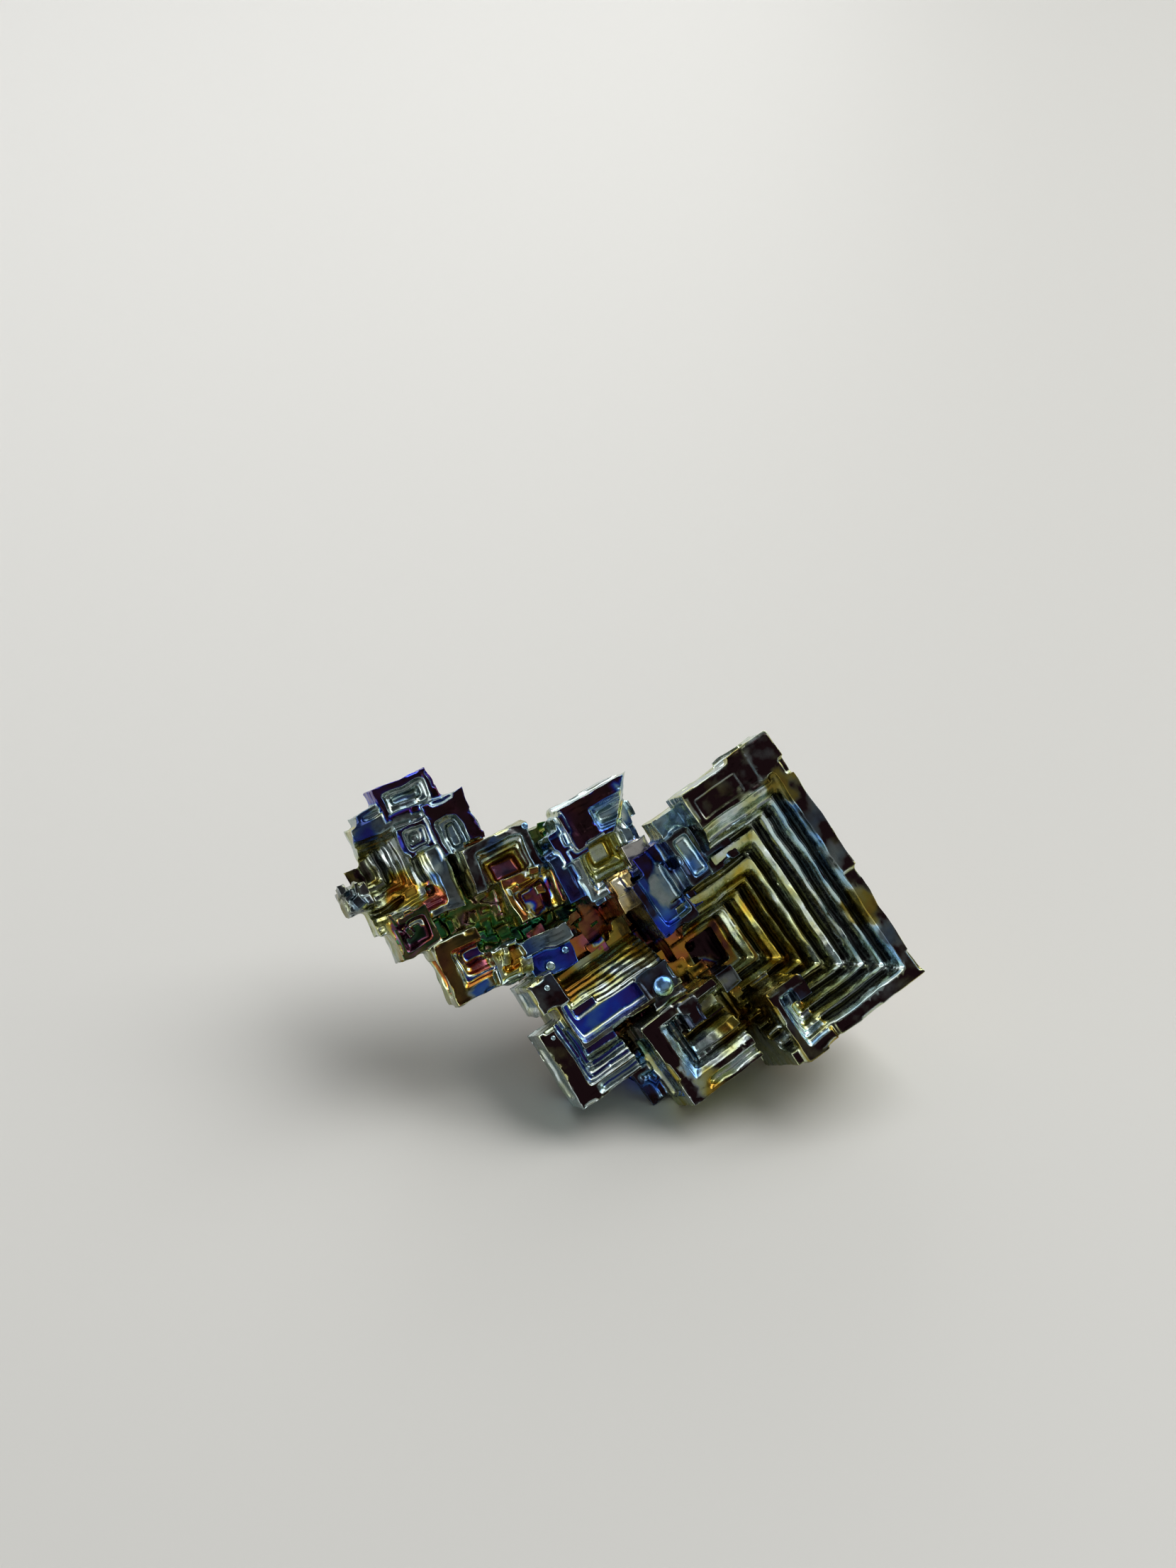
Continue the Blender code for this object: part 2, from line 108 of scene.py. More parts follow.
# Small cubes out of line with the lattice, on the crystals that grew last.
CRUMBS = {"trunk_thin": 110, "trunk_thick": 60, "gap_ledge": 10, "hidden_foot": 10, "olive_block": 4,
          "violet_foot": 3, "red_hopper": 5, "far_lobe": 6}
CRUMB_SIZE = (0.4, 1.5)
CRUMB_RISE = (0.1, 0.8)
CRUMB_TURN = 14.0
CRUMB_FILM = 0.08  # how much the film varies from one to the next

# The skin that the crystals of one piece share, in millimetres.
SKIN = 0.12  # the size of its cells
KEEP = 0.38  # the share of its faces that are kept
WAVE = 0.12
WAVE_LENGTH = 2.4
RIPPLE = 0.04
RIPPLE_LENGTH = 0.7
WARPS = ((2.8, 1.0), (1.1, 0.4))  # the lengths and strengths at which the edges wander
FLUTE = 0.09  # depth of the fine growth lines
FLUTE_STEP = 0.3
CREST_RINGS = 5  # rings of neighbours that tell a crest
CREST_FROM = 0.015  # how far a point stands out of its smoothed surroundings where the crest begins
CREST_TO = 0.06  # and where it is fully crest
CREST_LIGHTEN = 0.3  # the share of the darkness that is taken off there, a painted highlight on the crests
# Painted shade of recesses: how far the walls reach and how much of the room about a point they must hide.
SHUT_REACH = 2.2  # how far off the walls are that shut a recess in
SHUT_FROM = 0.55  # the share of the room about a point that they hide where the painted shade begins
SHUT_TO = 0.9
SHUT_RINGS = 2
FACING = 0.2  # how squarely a direction has to leave the surface to count
OUTER = 0.3  # how near its crystal's outside a side wall is
CAP_DEPTH = 0.45
FLAT_FROM = 0.80  # how squarely a surface has to face out of the hollow to count as a tread
FLAT_TO = 0.97
RAGGED = 0.7  # how far a patch's edge wanders, as a share of its radius
RAGGED_LENGTH = 0.6
SHIFT_REACH = 99.0  # how far off each piece reads its noise

# Film thickness runs along the oxide's colour order. These are its places on the way from 0 to 1.
FILM_COLOURS = (
    (0.00, "#dcd9d2"), (0.05, "#e0d8b8"), (0.09, "#d6bf7a"), (0.14, "#b07a45"), (0.18, "#7d3f38"),
    (0.22, "#6e3560"), (0.26, "#3b2a90"), (0.31, "#2348d0"), (0.36, "#4a80cd"), (0.41, "#8db3c9"),
    (0.45, "#b4cbc8"), (0.49, "#d0dcdc"), (0.53, "#c2cda0"), (0.58, "#b8aa48"), (0.63, "#b8882f"),
    (0.68, "#b0663a"), (0.73, "#a8607c"), (0.78, "#77658a"), (0.83, "#3d8a70"), (0.88, "#2f9a48"),
    (0.94, "#a0a050"), (1.00, "#c08aa0"),
)
SILVER, STRAW, COPPER, CRIMSON, MAGENTA, VIOLET, ROYAL = 0.0, 0.09, 0.14, 0.18, 0.22, 0.26, 0.31
BLUE, SKY, TEAL, PALE, SAGE, LIME, GOLD = 0.36, 0.41, 0.45, 0.49, 0.53, 0.58, 0.63
ROSE, PINK, GREEN, EMERALD, OLIVE = 0.68, 0.73, 0.83, 0.88, 0.94

# The oxide on one crystal. cap is the film on its front face, floor on the treads, wall_u and
# wall_v on the risers that face along u and v, each given at the top and at the foot of the pit,
# and side on the crystal's outer sides. After side come how dark the cap is, then gloom for the
# outer sides, dull for the treads and veil for the risers. That darkness is part tarnish and part
# painted shade: the black of caps and treads stands in for the dark room that they mirror.
Oxide = namedtuple("Oxide", "cap floor wall_u wall_v side tarnish gloom dull veil")


def oxide(cap, floor, wall_u, wall_v=None, side=CRIMSON, tarnish=0.75, gloom=0.35, dull=0.9, veil=0.15):
    """The oxide of one crystal. A film that is the same from top to foot is given as one number."""
    films = (floor, wall_u, wall_v or wall_u)
    ends = (film if isinstance(film, tuple) else (film, film) for film in films)
    return Oxide(cap, *ends, side, tarnish, gloom, dull, veil)


# A patch of another film thickness and darkness, part tarnish and part painted shade, at a place (u, v, w) in
# its stretch's lattice.
Patch = namedtuple("Patch", "stretch place radius film tarnish")
PATCHES = (
    Patch("thick", (-20.6, -1.4, -0.3), 1.7, LIME, 0.66),
    Patch("thick", (-8.1, -1.6, -0.7), 1.9, LIME, 0.6),
    Patch("thick", (-17.0, -0.3, 0.2), 1.5, TEAL, 0.86),
    Patch("thick", (-13.3, -0.5, 0.2), 1.5, TEAL, 0.84),
    Patch("thick", (-4.6, -0.9, 0.0), 1.3, TEAL, 0.8),
    Patch("thick", (-6.0, -14.3, -5.5), 4.2, LIME, 0.6),
    # Painted shade: this patch blackens the foot of the deep shaft in the great hopper.
    Patch("thick", (-12.1, -11.9, -11.8), 3.0, ROSE, 1.0),
    Patch("thick", (-21.2, -4.5, -0.8), 1.5, SAGE, 0.1),
    Patch("thick", (-3.4, -21.2, -2.5), 1.3, LIME, 0.35),
    Patch("thick", (-5.3, -21.7, -2.9), 1.0, SKY, 0.0),
    Patch("thick", (-16.2, -15.9, -4.6), 1.8, ROYAL, 0.3),
    Patch("thick", (-19.2, -13.8, -4.8), 1.6, TEAL, 0.5),
    Patch("thick", (-13.6, -14.4, -9.6), 2.0, ROSE, 0.1),
    Patch("thick", (-16.9, -18.7, -10.0), 1.8, PINK, 0.0),
    Patch("thick", (-19.6, -19.2, -11.6), 2.4, CRIMSON, 0.4),
    Patch("thick", (-9.0, -15.0, -6.4), 1.6, SAGE, 0.0),
    Patch("front", (-17.2, -24.5, -8.0), 2.6, GOLD, 0.35),
    Patch("middle", (-27.4, -12.0, -6.8), 2.4, PALE, 0.0),
    Patch("middle", (-22.7, -16.8, -7.6), 1.6, SAGE, 0.0),
    Patch("thin", (-30.2, -33.6, -12.2), 2.0, GOLD, 0.1),
    Patch("thin", (-28.2, -31.9, -10.8), 1.3, PINK, 0.1),
    Patch("thin", (-36.6, -34.9, -10.0), 1.6, BLUE, 0.75),
    Patch("thin", (-31.7, -31.4, -11.0), 1.5, SAGE, 0.15),
    Patch("thin", (-19.8, -31.7, -7.9), 1.4, BLUE, 0.4),
    Patch("thin", (-20.9, -28.1, -8.4), 0.9, GOLD, 0.0),
    Patch("thin", (-24.3, -25.0, -9.3), 1.2, LIME, 0.1),
    Patch("thin", (-24.7, -22.8, -9.4), 1.2, CRIMSON, 0.1),
    Patch("thin", (-22.6, -24.6, -10.5), 1.6, EMERALD, 0.1),
    Patch("thin", (-30.2, -25.8, -7.4), 1.4, BLUE, 0.7),
)


# One stepped hollow. Widths go round its four sides: the low and high end of the face's first
# axis, then of its second. rims are left standing, and where one is negative the steps run out
# through that side. The pit goes straight down to sink, and then down a riser at each step. A step
# has a flat tread, which the first one goes without, and then a slope.
Pit = namedtuple("Pit", "face rims steps riser sink")
Step = namedtuple("Step", "tread slope")
# A crystal is one box or a few joined ones, and its pits are measured from the first box.
Crystal = namedtuple("Crystal", "name stretch boxes pits oxide")
# Where a crystal has broken off: a point of the break and the direction that it faces.
Break = namedtuple("Break", "point facing")


def pit(face, rims, levels, tread, slope, riser, sink=LIP):
    """A pit whose steps are all alike. A width is one number, or one for each of the four sides."""
    step = Step(*(width if isinstance(width, tuple) else (width,) * 4 for width in (tread, slope)))
    return Pit(face, rims, (step,) * levels, riser, sink)


def even_pit(face, rim, levels, step):
    """A pit with the same rim all round and steps about as deep as they are wide."""
    return pit(face, (rim,) * 4, levels, 0.5 * step, 0.5 * step, step)


# The steps of the great hopper, from its rim down. They are widest where the branch leaves it.
GREAT_STEPS = (
    Step((0.00, 0.00, 0.00, 0.00), (1.70, 0.60, 0.05, 0.60)),
    Step((0.15, 0.48, 0.05, 0.47), (0.55, 0.55, 0.05, 0.62)),
    Step((0.15, 0.42, 0.05, 0.50), (0.20, 0.50, 0.05, 0.65)),
    Step((0.45, 0.42, 0.05, 0.55), (1.60, 0.55, 0.05, 0.80)),
    Step((0.50, 0.45, 0.05, 0.55), (1.50, 0.55, 0.05, 0.60)),
    Step((0.15, 0.45, 0.05, 0.45), (0.30, 0.65, 0.05, 0.55)),
    Step((0.15, 0.50, 0.05, 0.45), (0.40, 0.75, 0.05, 1.00)),
    Step((0.20, 0.50, 0.05, 0.70), (0.40, 0.60, 0.05, 0.90)),
)
# The steps of the far terraces, which crowd together towards the thin end's tip.
FAR_STEPS = (
    Step((0.00, 0.00, 0.00, 0.00), (0.30, 0.40, 0.05, 0.30)),
    Step((0.10, 0.30, 0.05, 0.20), (0.10, 0.60, 0.05, 0.35)),
    Step((0.10, 0.15, 0.05, 0.50), (0.10, 0.40, 0.05, 0.90)),
    Step((0.10, 0.55, 0.05, 0.20), (0.10, 0.80, 0.05, 0.40)),
    Step((0.10, 0.30, 0.05, 0.30), (0.10, 0.40, 0.05, 0.40)),
    Step((0.10, 0.30, 0.05, 0.40), (0.10, 0.40, 0.05, 0.50)),
)
# The steps of the front hopper, which are broad towards its lowest corner.
FRONT_STEPS = (
    Step((0.00, 0.00, 0.00, 0.00), (0.30, 0.85, 1.00, 0.05)),
    Step((0.10, 0.60, 0.50, 0.05), (0.10, 1.40, 0.35, 0.05)),
    Step((0.10, 0.35, 0.45, 0.05), (0.10, 0.45, 0.40, 0.05)),
)

CRYSTALS = (
    # The great hopper at the thick end: its right, top and bottom walls stand, and its left is open.
    Crystal("great_hopper", "thick", (
        ((-25.2, -9.4, -5.3), (0.0, 0.0, 0.0)),
        ((-17.6, -14.3, -9.6), (-0.08, -6.4, -0.12)),
        ((-23.6, -7.2, -9.8), (-1.5, -1.3, -4.9)),
        ((-21.6, -15.6, -14.8), (-3.4, -3.2, -9.2)),
        ((-25.35, -2.55, -4.0), (-11.3, 0.35, 0.18)),
        ((-25.65, -4.3, -4.4), (-22.35, 0.22, 0.09)),
    ), (
        Pit("+w", (3.1, 1.35, -16.0, 1.3), GREAT_STEPS, 1.18, LIP),
        pit("+w", (12.0, 9.9, -4.8, 11.3), 1, 0.0, 0.2, 2.4, 9.4),
        pit("+v", (1.8, 1.8, 1.1, 1.1), 2, 0.40, 0.25, 0.30),
        pit("+u", (1.6, 1.6, 1.0, 1.1), 2, 0.35, 0.25, 0.30),
        pit("-u", (1.4, 1.4, 1.1, 1.2), 1, 0.0, 0.30, 0.25),
    ), oxide(SAGE, (SKY, ROSE), (PALE, GOLD), (SKY, ROSE), SAGE, 0.97, 0.2, 0.6, 0.0)),
    Crystal("great_back", "thick", (((-19.8, -13.8, -16.4), (-5.2, -5.0, -13.0)),), (
        even_pit("-w", 1.6, 2, 0.8),
    ), oxide(SKY, (BLUE, SAGE), (SKY, GOLD), side=TEAL, tarnish=0.6, gloom=0.35)),
    Crystal("top_bar", "thick", (((-25.05, -9.55, -5.5), (-21.6, -1.9, 0.05)),), (
        pit("+w", (0.9, 0.55, 0.8, -0.4), 2, 0.20, 0.20, 0.50),
        pit("-v", (0.7, 0.7, 1.0, 1.0), 1, 0.0, 0.2, 0.4),
    ), oxide(SAGE, (BLUE, SKY), (SKY, TEAL), side=PALE, tarnish=0.97, gloom=0.25)),
    Crystal("corner_hopper", "thick", (((-6.85, -13.35, -9.4), (0.12, -9.75, 0.22)),), (
        pit("+w", (0.9, 1.15, 0.95, -3.0), 4, (0.12, 0.2, 0.2, 0.05), (0.05, 0.55, 0.35, 0.05), 0.85),
        pit("-v", (1.1, 1.1, 1.2, 1.2), 1, 0.0, 0.25, 0.3),
    ), oxide(SAGE, (SKY, TEAL), (SKY, PALE), (SKY, PALE), LIME, 0.96, 0.4, 0.9, 0.0)),
    Crystal("corner_tooth", "thick", (((-6.7, -10.95, -6.0), (-4.5, -9.45, 0.12)),), (),
        oxide(SKY, (BLUE, SKY), SKY, side=SKY, tarnish=0.97, gloom=0.85)),
    # The front hoppers that the cluster leans on.
    Crystal("front_hopper", "thick", (((-10.5, -23.4, -8.2), (-2.2, -15.4, -2.5)),), (
        Pit("+w", (0.95, 2.0, 1.65, -3.4), FRONT_STEPS, 1.0, LIP),
        pit("+w", (7.0, 0.5, 2.3, -3.4), 1, 0.0, (0.3, 0.35, 0.6, 0.05), 0.5),
        pit("+u", (0.8, 0.8, 1.2, 1.2), 2, 0.35, 0.3, 0.35),
        pit("-v", (1.2, 1.2, 0.9, 0.9), 1, 0.0, 0.2, 0.3),
    ), oxide(SAGE, (TEAL, SAGE), (PALE, SAGE), (SKY, TEAL), SAGE, 0.97, 0.2, 0.9, 0.0)),
    Crystal("front_tooth", "thick", (((-10.38, -19.7, -7.6), (-7.7, -17.8, -2.38)),), (),
        oxide(SKY, SKY, SKY, side=SKY, tarnish=0.95, gloom=0.85)),
    Crystal("low_hopper", "front", (
        ((-15.0, -31.0, -8.7), (-7.4, -24.5, -4.0)),
        ((-13.6, -30.6, -10.3), (-7.55, -25.6, -8.1)),
    ), (
        pit("+w", (-1.0, 1.5, 1.7, -2.6), 3, (0.05, 0.3, 0.3, 0.05), (0.05, 0.42, 0.3, 0.05), 0.65),
        pit("+w", (6.35, 0.4, 2.1, -2.6), 1, 0.0, (0.25, 0.3, 0.6, 0.05), 0.45),
        pit("+u", (0.8, 0.8, 1.1, 1.1), 2, 0.35, 0.3, 0.35),
        pit("-v", (1.4, 1.0, 0.9, 0.9), 1, 0.0, 0.2, 0.3),
    ), oxide(SAGE, VIOLET, (TEAL, PALE), (SKY, TEAL), PALE, 0.97, 0.0, 0.8, 0.3)),
    Crystal("gold_hopper", "front", (((-19.1, -28.1, -13.4), (-11.5, -17.4, -4.55)),), (
        pit("+w", (-3.0, 0.6, 0.45, -3.0), 1, 0.0, 0.3, 1.20),
        pit("+w", (-6.0, 2.45, 1.3, -8.0), 8, (0.05, 0.12, 0.06, 0.05), (0.05, 0.29, 0.1, 0.05), 0.5, 1.3),
        even_pit("-u", 1.4, 2, 0.6),
    ), oxide(SAGE, (MAGENTA, LIME), (PALE, LIME), (SKY, GOLD), SAGE, 0.9, 0.2, 0.4, 0.0)),
    Crystal("gold_post", "front", (((-19.0, -29.5, -12.0), (-15.9, -26.6, -4.45)),), (
        pit("-v", (0.6, 0.6, 1.4, 0.8), 1, 0.0, 0.2, 0.3),
    ), oxide(SKY, BLUE, SKY, side=PALE, tarnish=0.94, gloom=0.0)),
    Crystal("drop_block", "thick", (((-14.0, -20.8, -13.0), (-10.6, -17.5, -4.6)),), (),
        oxide(SKY, (BLUE, SKY), SKY, side=SKY, tarnish=0.93, gloom=0.8)),
    Crystal("gap_block", "thick", (((-10.25, -14.95, -12.0), (-8.3, -13.0, -3.9)),), (),
        oxide(BLUE, BLUE, (BLUE, SKY), side=BLUE, tarnish=1.0, gloom=0.8, dull=1.0)),
    Crystal("gap_ledge", "thick", (((-9.6, -18.2, -12.5), (-4.2, -13.2, -6.4)),), (
        even_pit("+w", 0.7, 2, 0.5),
    ), oxide(LIME, (LIME, GOLD), (SAGE, LIME), side=LIME, tarnish=0.1, gloom=0.1, dull=0.1, veil=0.0)),
    Crystal("hidden_foot", "thick", (((-8.6, -25.2, -12.6), (-3.4, -19.8, -7.9)),), (
        even_pit("-v", 1.0, 1, 0.4),
    ), oxide(BLUE, BLUE, BLUE, side=BLUE, tarnish=0.95, gloom=0.85)),
    # The row of blocks between the great hopper and the pointed group.
    Crystal("blue_hopper", "thick", (((-20.9, -16.65, -12.4), (-15.2, -12.9, -4.0)),), (
        pit("+w", (-0.5, 0.95, 0.85, 0.2), 1, 0.0, 0.2, 0.9),
    ), oxide(BLUE, ROYAL, BLUE, side=BLUE, tarnish=0.95, gloom=0.75, dull=0.6, veil=0.4)),
    Crystal("navy_block", "thick", (((-22.7, -15.0, -12.2), (-15.8, -11.6, -5.0)),), (),
        oxide(ROYAL, (VIOLET, ROYAL), (BLUE, ROYAL), side=ROYAL, tarnish=0.95, gloom=0.6)),
    Crystal("teal_hopper", "thick", (((-22.6, -12.4, -9.0), (-17.7, -9.9, -2.2)),), (
        pit("+w", (0.6, 0.7, 0.6, 0.5), 1, 0.0, 0.2, 0.5),
    ), oxide(SKY, (TEAL, SKY), (SKY, TEAL), side=SKY, tarnish=0.92, gloom=0.6, dull=0.3)),
    Crystal("bead_block", "thick", (((-21.6, -10.2, -11.0), (-17.4, -6.6, -3.8)),), (
        pit("-v", (0.7, 0.7, 0.8, 1.1), 1, 0.0, 0.3, 0.4),
    ), oxide(SKY, (BLUE, SKY), SKY, side=SKY, tarnish=0.95, gloom=0.7)),
    Crystal("under_bar", "thick", (((-24.4, -11.9, -8.0), (-21.9, -8.6, -4.2)),), (),
        oxide(SKY, (SKY, TEAL), (TEAL, SAGE), side=SAGE, tarnish=0.4, gloom=0.1)),
    # The pointed group above the middle of the branch.
    Crystal("point_block", "middle", (((-29.8, -18.3, -9.4), (-25.6, -10.7, -5.0)),), (
        pit("+w", (1.3, 0.6, 2.6, -1.0), 2, 0.2, 0.3, 0.5),
    ), oxide(MAGENTA, (BLUE, SKY), (SKY, TEAL), side=PALE, tarnish=0.93, gloom=0.2, dull=0.7, veil=0.3)),
    Crystal("point_shelf", "middle", (((-29.2, -18.9, -9.8), (-26.6, -16.6, -5.6)),), (),
        oxide(MAGENTA, (BLUE, SKY), SKY, side=SKY, tarnish=0.93, gloom=0.1, veil=0.3)),
    Crystal("step_block", "middle", (((-28.0, -20.0, -10.6), (-25.0, -17.0, -6.0)),), (
        even_pit("-v", 0.6, 1, 0.4),
    ), oxide(MAGENTA, (BLUE, SKY), SKY, side=SKY, tarnish=0.93, gloom=0.1, veil=0.3)),
    Crystal("slope_block", "middle", (((-26.7, -20.95, -12.6), (-21.8, -17.9, -6.4)),), (
        even_pit("-v", 1.0, 2, 0.45),
    ), oxide(ROYAL, (ROYAL, BLUE), (BLUE, SKY), side=BLUE, tarnish=0.88, gloom=0.4)),
    Crystal("silver_bowl", "middle", (((-26.4, -19.1, -13.4), (-21.0, -12.9, -6.1)),), (
        pit("+w", (0.3, 0.6, 0.8, 0.9), 4, 0.14, (0.11, 0.41, 0.31, 0.21), 0.62),
    ), oxide(TEAL, (SKY, SAGE), (PALE, LIME), (PALE, GOLD), SKY, 0.6, 0.2, 0.3)),
    Crystal("bowl_ledge", "middle", (((-24.2, -14.6, -12.0), (-22.0, -12.0, -5.7)),), (),
        oxide(SILVER, (SILVER, STRAW), SILVER, side=SILVER, tarnish=0.3, gloom=0.0)),
    Crystal("gold_lobe", "middle", (((-22.2, -17.2, -12.0), (-18.6, -14.9, -5.6)),), (),
        oxide(STRAW, STRAW, (STRAW, COPPER), side=COPPER, tarnish=0.1, gloom=0.2)),
    # The thin half of the branch.
    Crystal("window_hopper", "thin", (((-31.6, -28.7, -12.6), (-27.3, -21.8, -7.1)),), (
        pit("+w", (1.0, -0.8, 1.1, 1.2), 4, 0.14, (0.32, 0.08, 0.2, 0.2), 0.62),
        even_pit("-u", 1.1, 2, 0.55),
    ), oxide(TEAL, PINK, (SKY, ROSE), (SKY, ROSE), SAGE, 0.95, 0.4, 0.7, 0.35)),
    Crystal("red_hopper", "thin", (((-27.6, -26.4, -13.0), (-23.2, -21.3, -7.6)),), (
        pit("+w", (1.0, -0.8, 0.8, 0.8), 2, 0.2, 0.35, 1.2),
    ), oxide(ROSE, CRIMSON, (LIME, GOLD), (PALE, ROSE), SAGE, 0.6, 0.15, 0.4)),
    Crystal("slate_block", "thin", (((-22.0, -27.1, -13.6), (-20.3, -22.3, -8.0)),), (),
        oxide(SKY, (BLUE, SKY), (SKY, PALE), side=PALE, tarnish=0.7, gloom=0.0)),
    Crystal("navy_brick", "thin", (((-20.6, -27.0, -13.0), (-18.1, -22.7, -8.5)),), (),
        oxide(ROYAL, ROYAL, (BLUE, SKY), side=SKY, tarnish=0.5, gloom=0.0)),
    Crystal("olive_block", "thin", (((-22.6, -30.0, -13.2), (-19.2, -27.2, -7.7)),), (
        pit("+w", (0.5, 0.8, 0.6, -0.4), 1, 0.0, 0.4, 0.6),
    ), oxide(LIME, (LIME, GOLD), (LIME, ROSE), side=TEAL, tarnish=0.5, gloom=0.1, dull=0.4)),
    Crystal("bronze_cube", "thin", (((-24.9, -34.4, -13.0), (-19.2, -30.1, -7.9)),), (
        pit("+w", (1.1, 1.3, 1.4, -0.8), 3, 0.16, (0.05, 0.49, 0.34, 0.14), 0.55),
        even_pit("+u", 1.0, 2, 0.45),
        even_pit("-v", 1.1, 1, 0.4),
    ), oxide(GOLD, VIOLET, (ROSE, PINK), (SAGE, ROSE), SAGE, 0.87, 0.15, 0.6, 0.2)),
    Crystal("violet_foot", "thin", (((-28.6, -36.9, -14.0), (-24.9, -32.8, -9.4)),), (
        pit("+w", (0.8, 0.7, 0.8, 0.6), 1, 0.0, 0.3, 0.7),
    ), oxide(OLIVE, GREEN, PINK, side=SAGE, tarnish=0.85, gloom=0.3, dull=0.85, veil=0.6)),
    Crystal("far_terraces", "thin", (
        ((-37.4, -35.9, -14.9), (-27.0, -29.5, -10.0)),
        ((-34.2, -37.6, -14.4), (-27.6, -35.1, -10.3)),
        ((-35.6, -34.4, -18.2), (-28.4, -27.2, -13.8)),
    ), (
        Pit("+w", (1.6, 0.7, -12.0, 1.3), FAR_STEPS, 0.7, LIP),
    ), oxide(TEAL, (TEAL, SAGE), (TEAL, LIME), (SKY, SAGE), SAGE, 0.8, 0.15, 0.85, 0.45)),
    Crystal("far_lobe", "thin", (((-32.8, -39.1, -14.2), (-30.2, -36.6, -10.2)),), (),
        oxide(TEAL, SKY, TEAL, side=SAGE, tarnish=0.9, gloom=0.6, veil=0.6)),
    Crystal("crown_block", "thin", (((-39.6, -32.9, -13.6), (-36.3, -27.6, -9.6)),), (
        pit("+w", (0.9, 0.3, 0.7, 0.9), 2, 0.2, 0.3, 0.55),
        even_pit("-u", 0.9, 1, 0.4),
    ), oxide(MAGENTA, (BLUE, SKY), TEAL, side=VIOLET, tarnish=0.93, gloom=0.2, dull=0.7, veil=0.5)),
    Crystal("crown_shelf", "thin", (((-38.3, -35.2, -13.8), (-35.8, -31.6, -10.1)),), (
        pit("+w", (0.5, 0.5, 0.6, 0.5), 1, 0.0, 0.3, 0.6),
    ), oxide(TEAL, SKY, TEAL, side=TEAL, tarnish=0.85, gloom=0.3, veil=0.5)),
    Crystal("grey_block", "thin", (((-36.5, -29.7, -13.4), (-31.5, -25.4, -8.8)),), (
        pit("+w", (1.9, -0.3, 0.5, 1.6), 2, 0.25, 0.25, 0.5),
        even_pit("+v", 1.1, 2, 0.5),
    ), oxide(MAGENTA, (BLUE, SKY), TEAL, side=TEAL, tarnish=0.94, gloom=0.35, dull=0.6, veil=0.5)),
    Crystal("red_step", "thin", (((-35.5, -32.4, -14.0), (-32.8, -29.6, -9.3)),), (
        even_pit("+w", 0.5, 2, 0.4),
    ), oxide(MAGENTA, (BLUE, SKY), TEAL, side=TEAL, tarnish=0.93, gloom=0.3, veil=0.5)),
    # The trunk that every crystal grew from, and the crystals behind it.
    Crystal("trunk_thick", "thick", (((-21.8, -24.6, -17.6), (-7.6, -11.0, -11.6)),), (
        even_pit("-u", 1.5, 2, 0.8),
    ), oxide(CRIMSON, (CRIMSON, COPPER), (COPPER, CRIMSON), side=COPPER, tarnish=0.6, dull=0.4, veil=0.3)),
    Crystal("trunk_thin", "thin", (((-30.4, -33.6, -16.6), (-19.8, -19.4, -11.8)),), (
        even_pit("-w", 1.6, 3, 0.9),
    ), oxide(EMERALD, (EMERALD, GREEN), (OLIVE, EMERALD), side=OLIVE, tarnish=0.7, dull=0.6, veil=0.4)),
    Crystal("back_foot", "thick", (((-15.6, -21.2, -21.6), (-5.9, -9.2, -13.4)),), (
        even_pit("-w", 1.4, 4, 0.8),
        even_pit("+v", 1.4, 2, 0.7),
        even_pit("-u", 1.4, 2, 0.7),
    ), oxide(SKY, (SKY, GOLD), (SKY, GOLD), side=ROSE, tarnish=0.7, gloom=0.3)),
    Crystal("back_shoulder", "middle", (((-28.3, -18.4, -16.4), (-20.4, -11.4, -9.0)),), (
        even_pit("-w", 1.2, 3, 0.8),
        even_pit("-u", 1.3, 2, 0.6),
    ), oxide(BLUE, (BLUE, TEAL), (TEAL, GOLD), side=SKY, tarnish=0.7, gloom=0.3)),
)
BREAKS = {"point_block": Break((-29.8, -11.2, -5.0), (0.60, 0.74, 0.30))}

# The spine: a row of small cubes along the crest of the valley, each set by its two ends.
SPINE_FROM = Vector((-21.4, -24.6, -10.2))
SPINE_TO = Vector((-10.4, -14.4, -9.4))
SPINE_CUBES = 9
SPINE_CUBE = 1.9
SPINE_DEPTH = 4.0


def turn_between(stretch):
    """The 4x4 matrix that takes a stretch's own lattice to the lattice of the thick end."""
    pivot = Matrix.Translation(stretch.pivot)
    return pivot @ Matrix.Rotation(radians(-stretch.turn), 4, "Z") @ pivot.inverted()


def lattice_to_frame():
    """The 4x4 matrix that takes (u, v, w) in millimetres to (x, y, z) in metres."""
    w = LATTICE_W.normalized()
    u = (LATTICE_U - LATTICE_U.dot(w) * w).normalized()
    v = w.cross(u)
    axes = Matrix((u, v, w)).transposed().to_4x4()
    return Matrix.Scale(MM, 4) @ Matrix.Translation(LATTICE_ZERO) @ axes


def linear(hex_colour):
    """A "#rrggbb" colour as linear RGBA."""
    channels = [int(hex_colour[start:start + 2], 16) / 255 for start in (1, 3, 5)]
    return [c / 12.92 if c <= 0.04045 else ((c + 0.055) / 1.055) ** 2.4 for c in channels] + [1.0]


def object_from(mesh, name):
    """Close a bmesh and put it in the scene as an object."""
    bmesh.ops.recalc_face_normals(mesh, faces=mesh.faces)
    data = bpy.data.meshes.new(name)
    mesh.to_mesh(data)
    mesh.free()
    obj = bpy.data.objects.new(name, data)
    bpy.context.scene.collection.objects.link(obj)
    return obj


def box_mesh(low, high):
    """A bmesh box between two corners."""
    low, high = Vector(low), Vector(high)
    place = Matrix.Translation((low + high) / 2) @ Matrix.Diagonal(high - low).to_4x4()
    mesh = bmesh.new()
    bmesh.ops.create_cube(mesh, size=1.0, matrix=place)
    return mesh


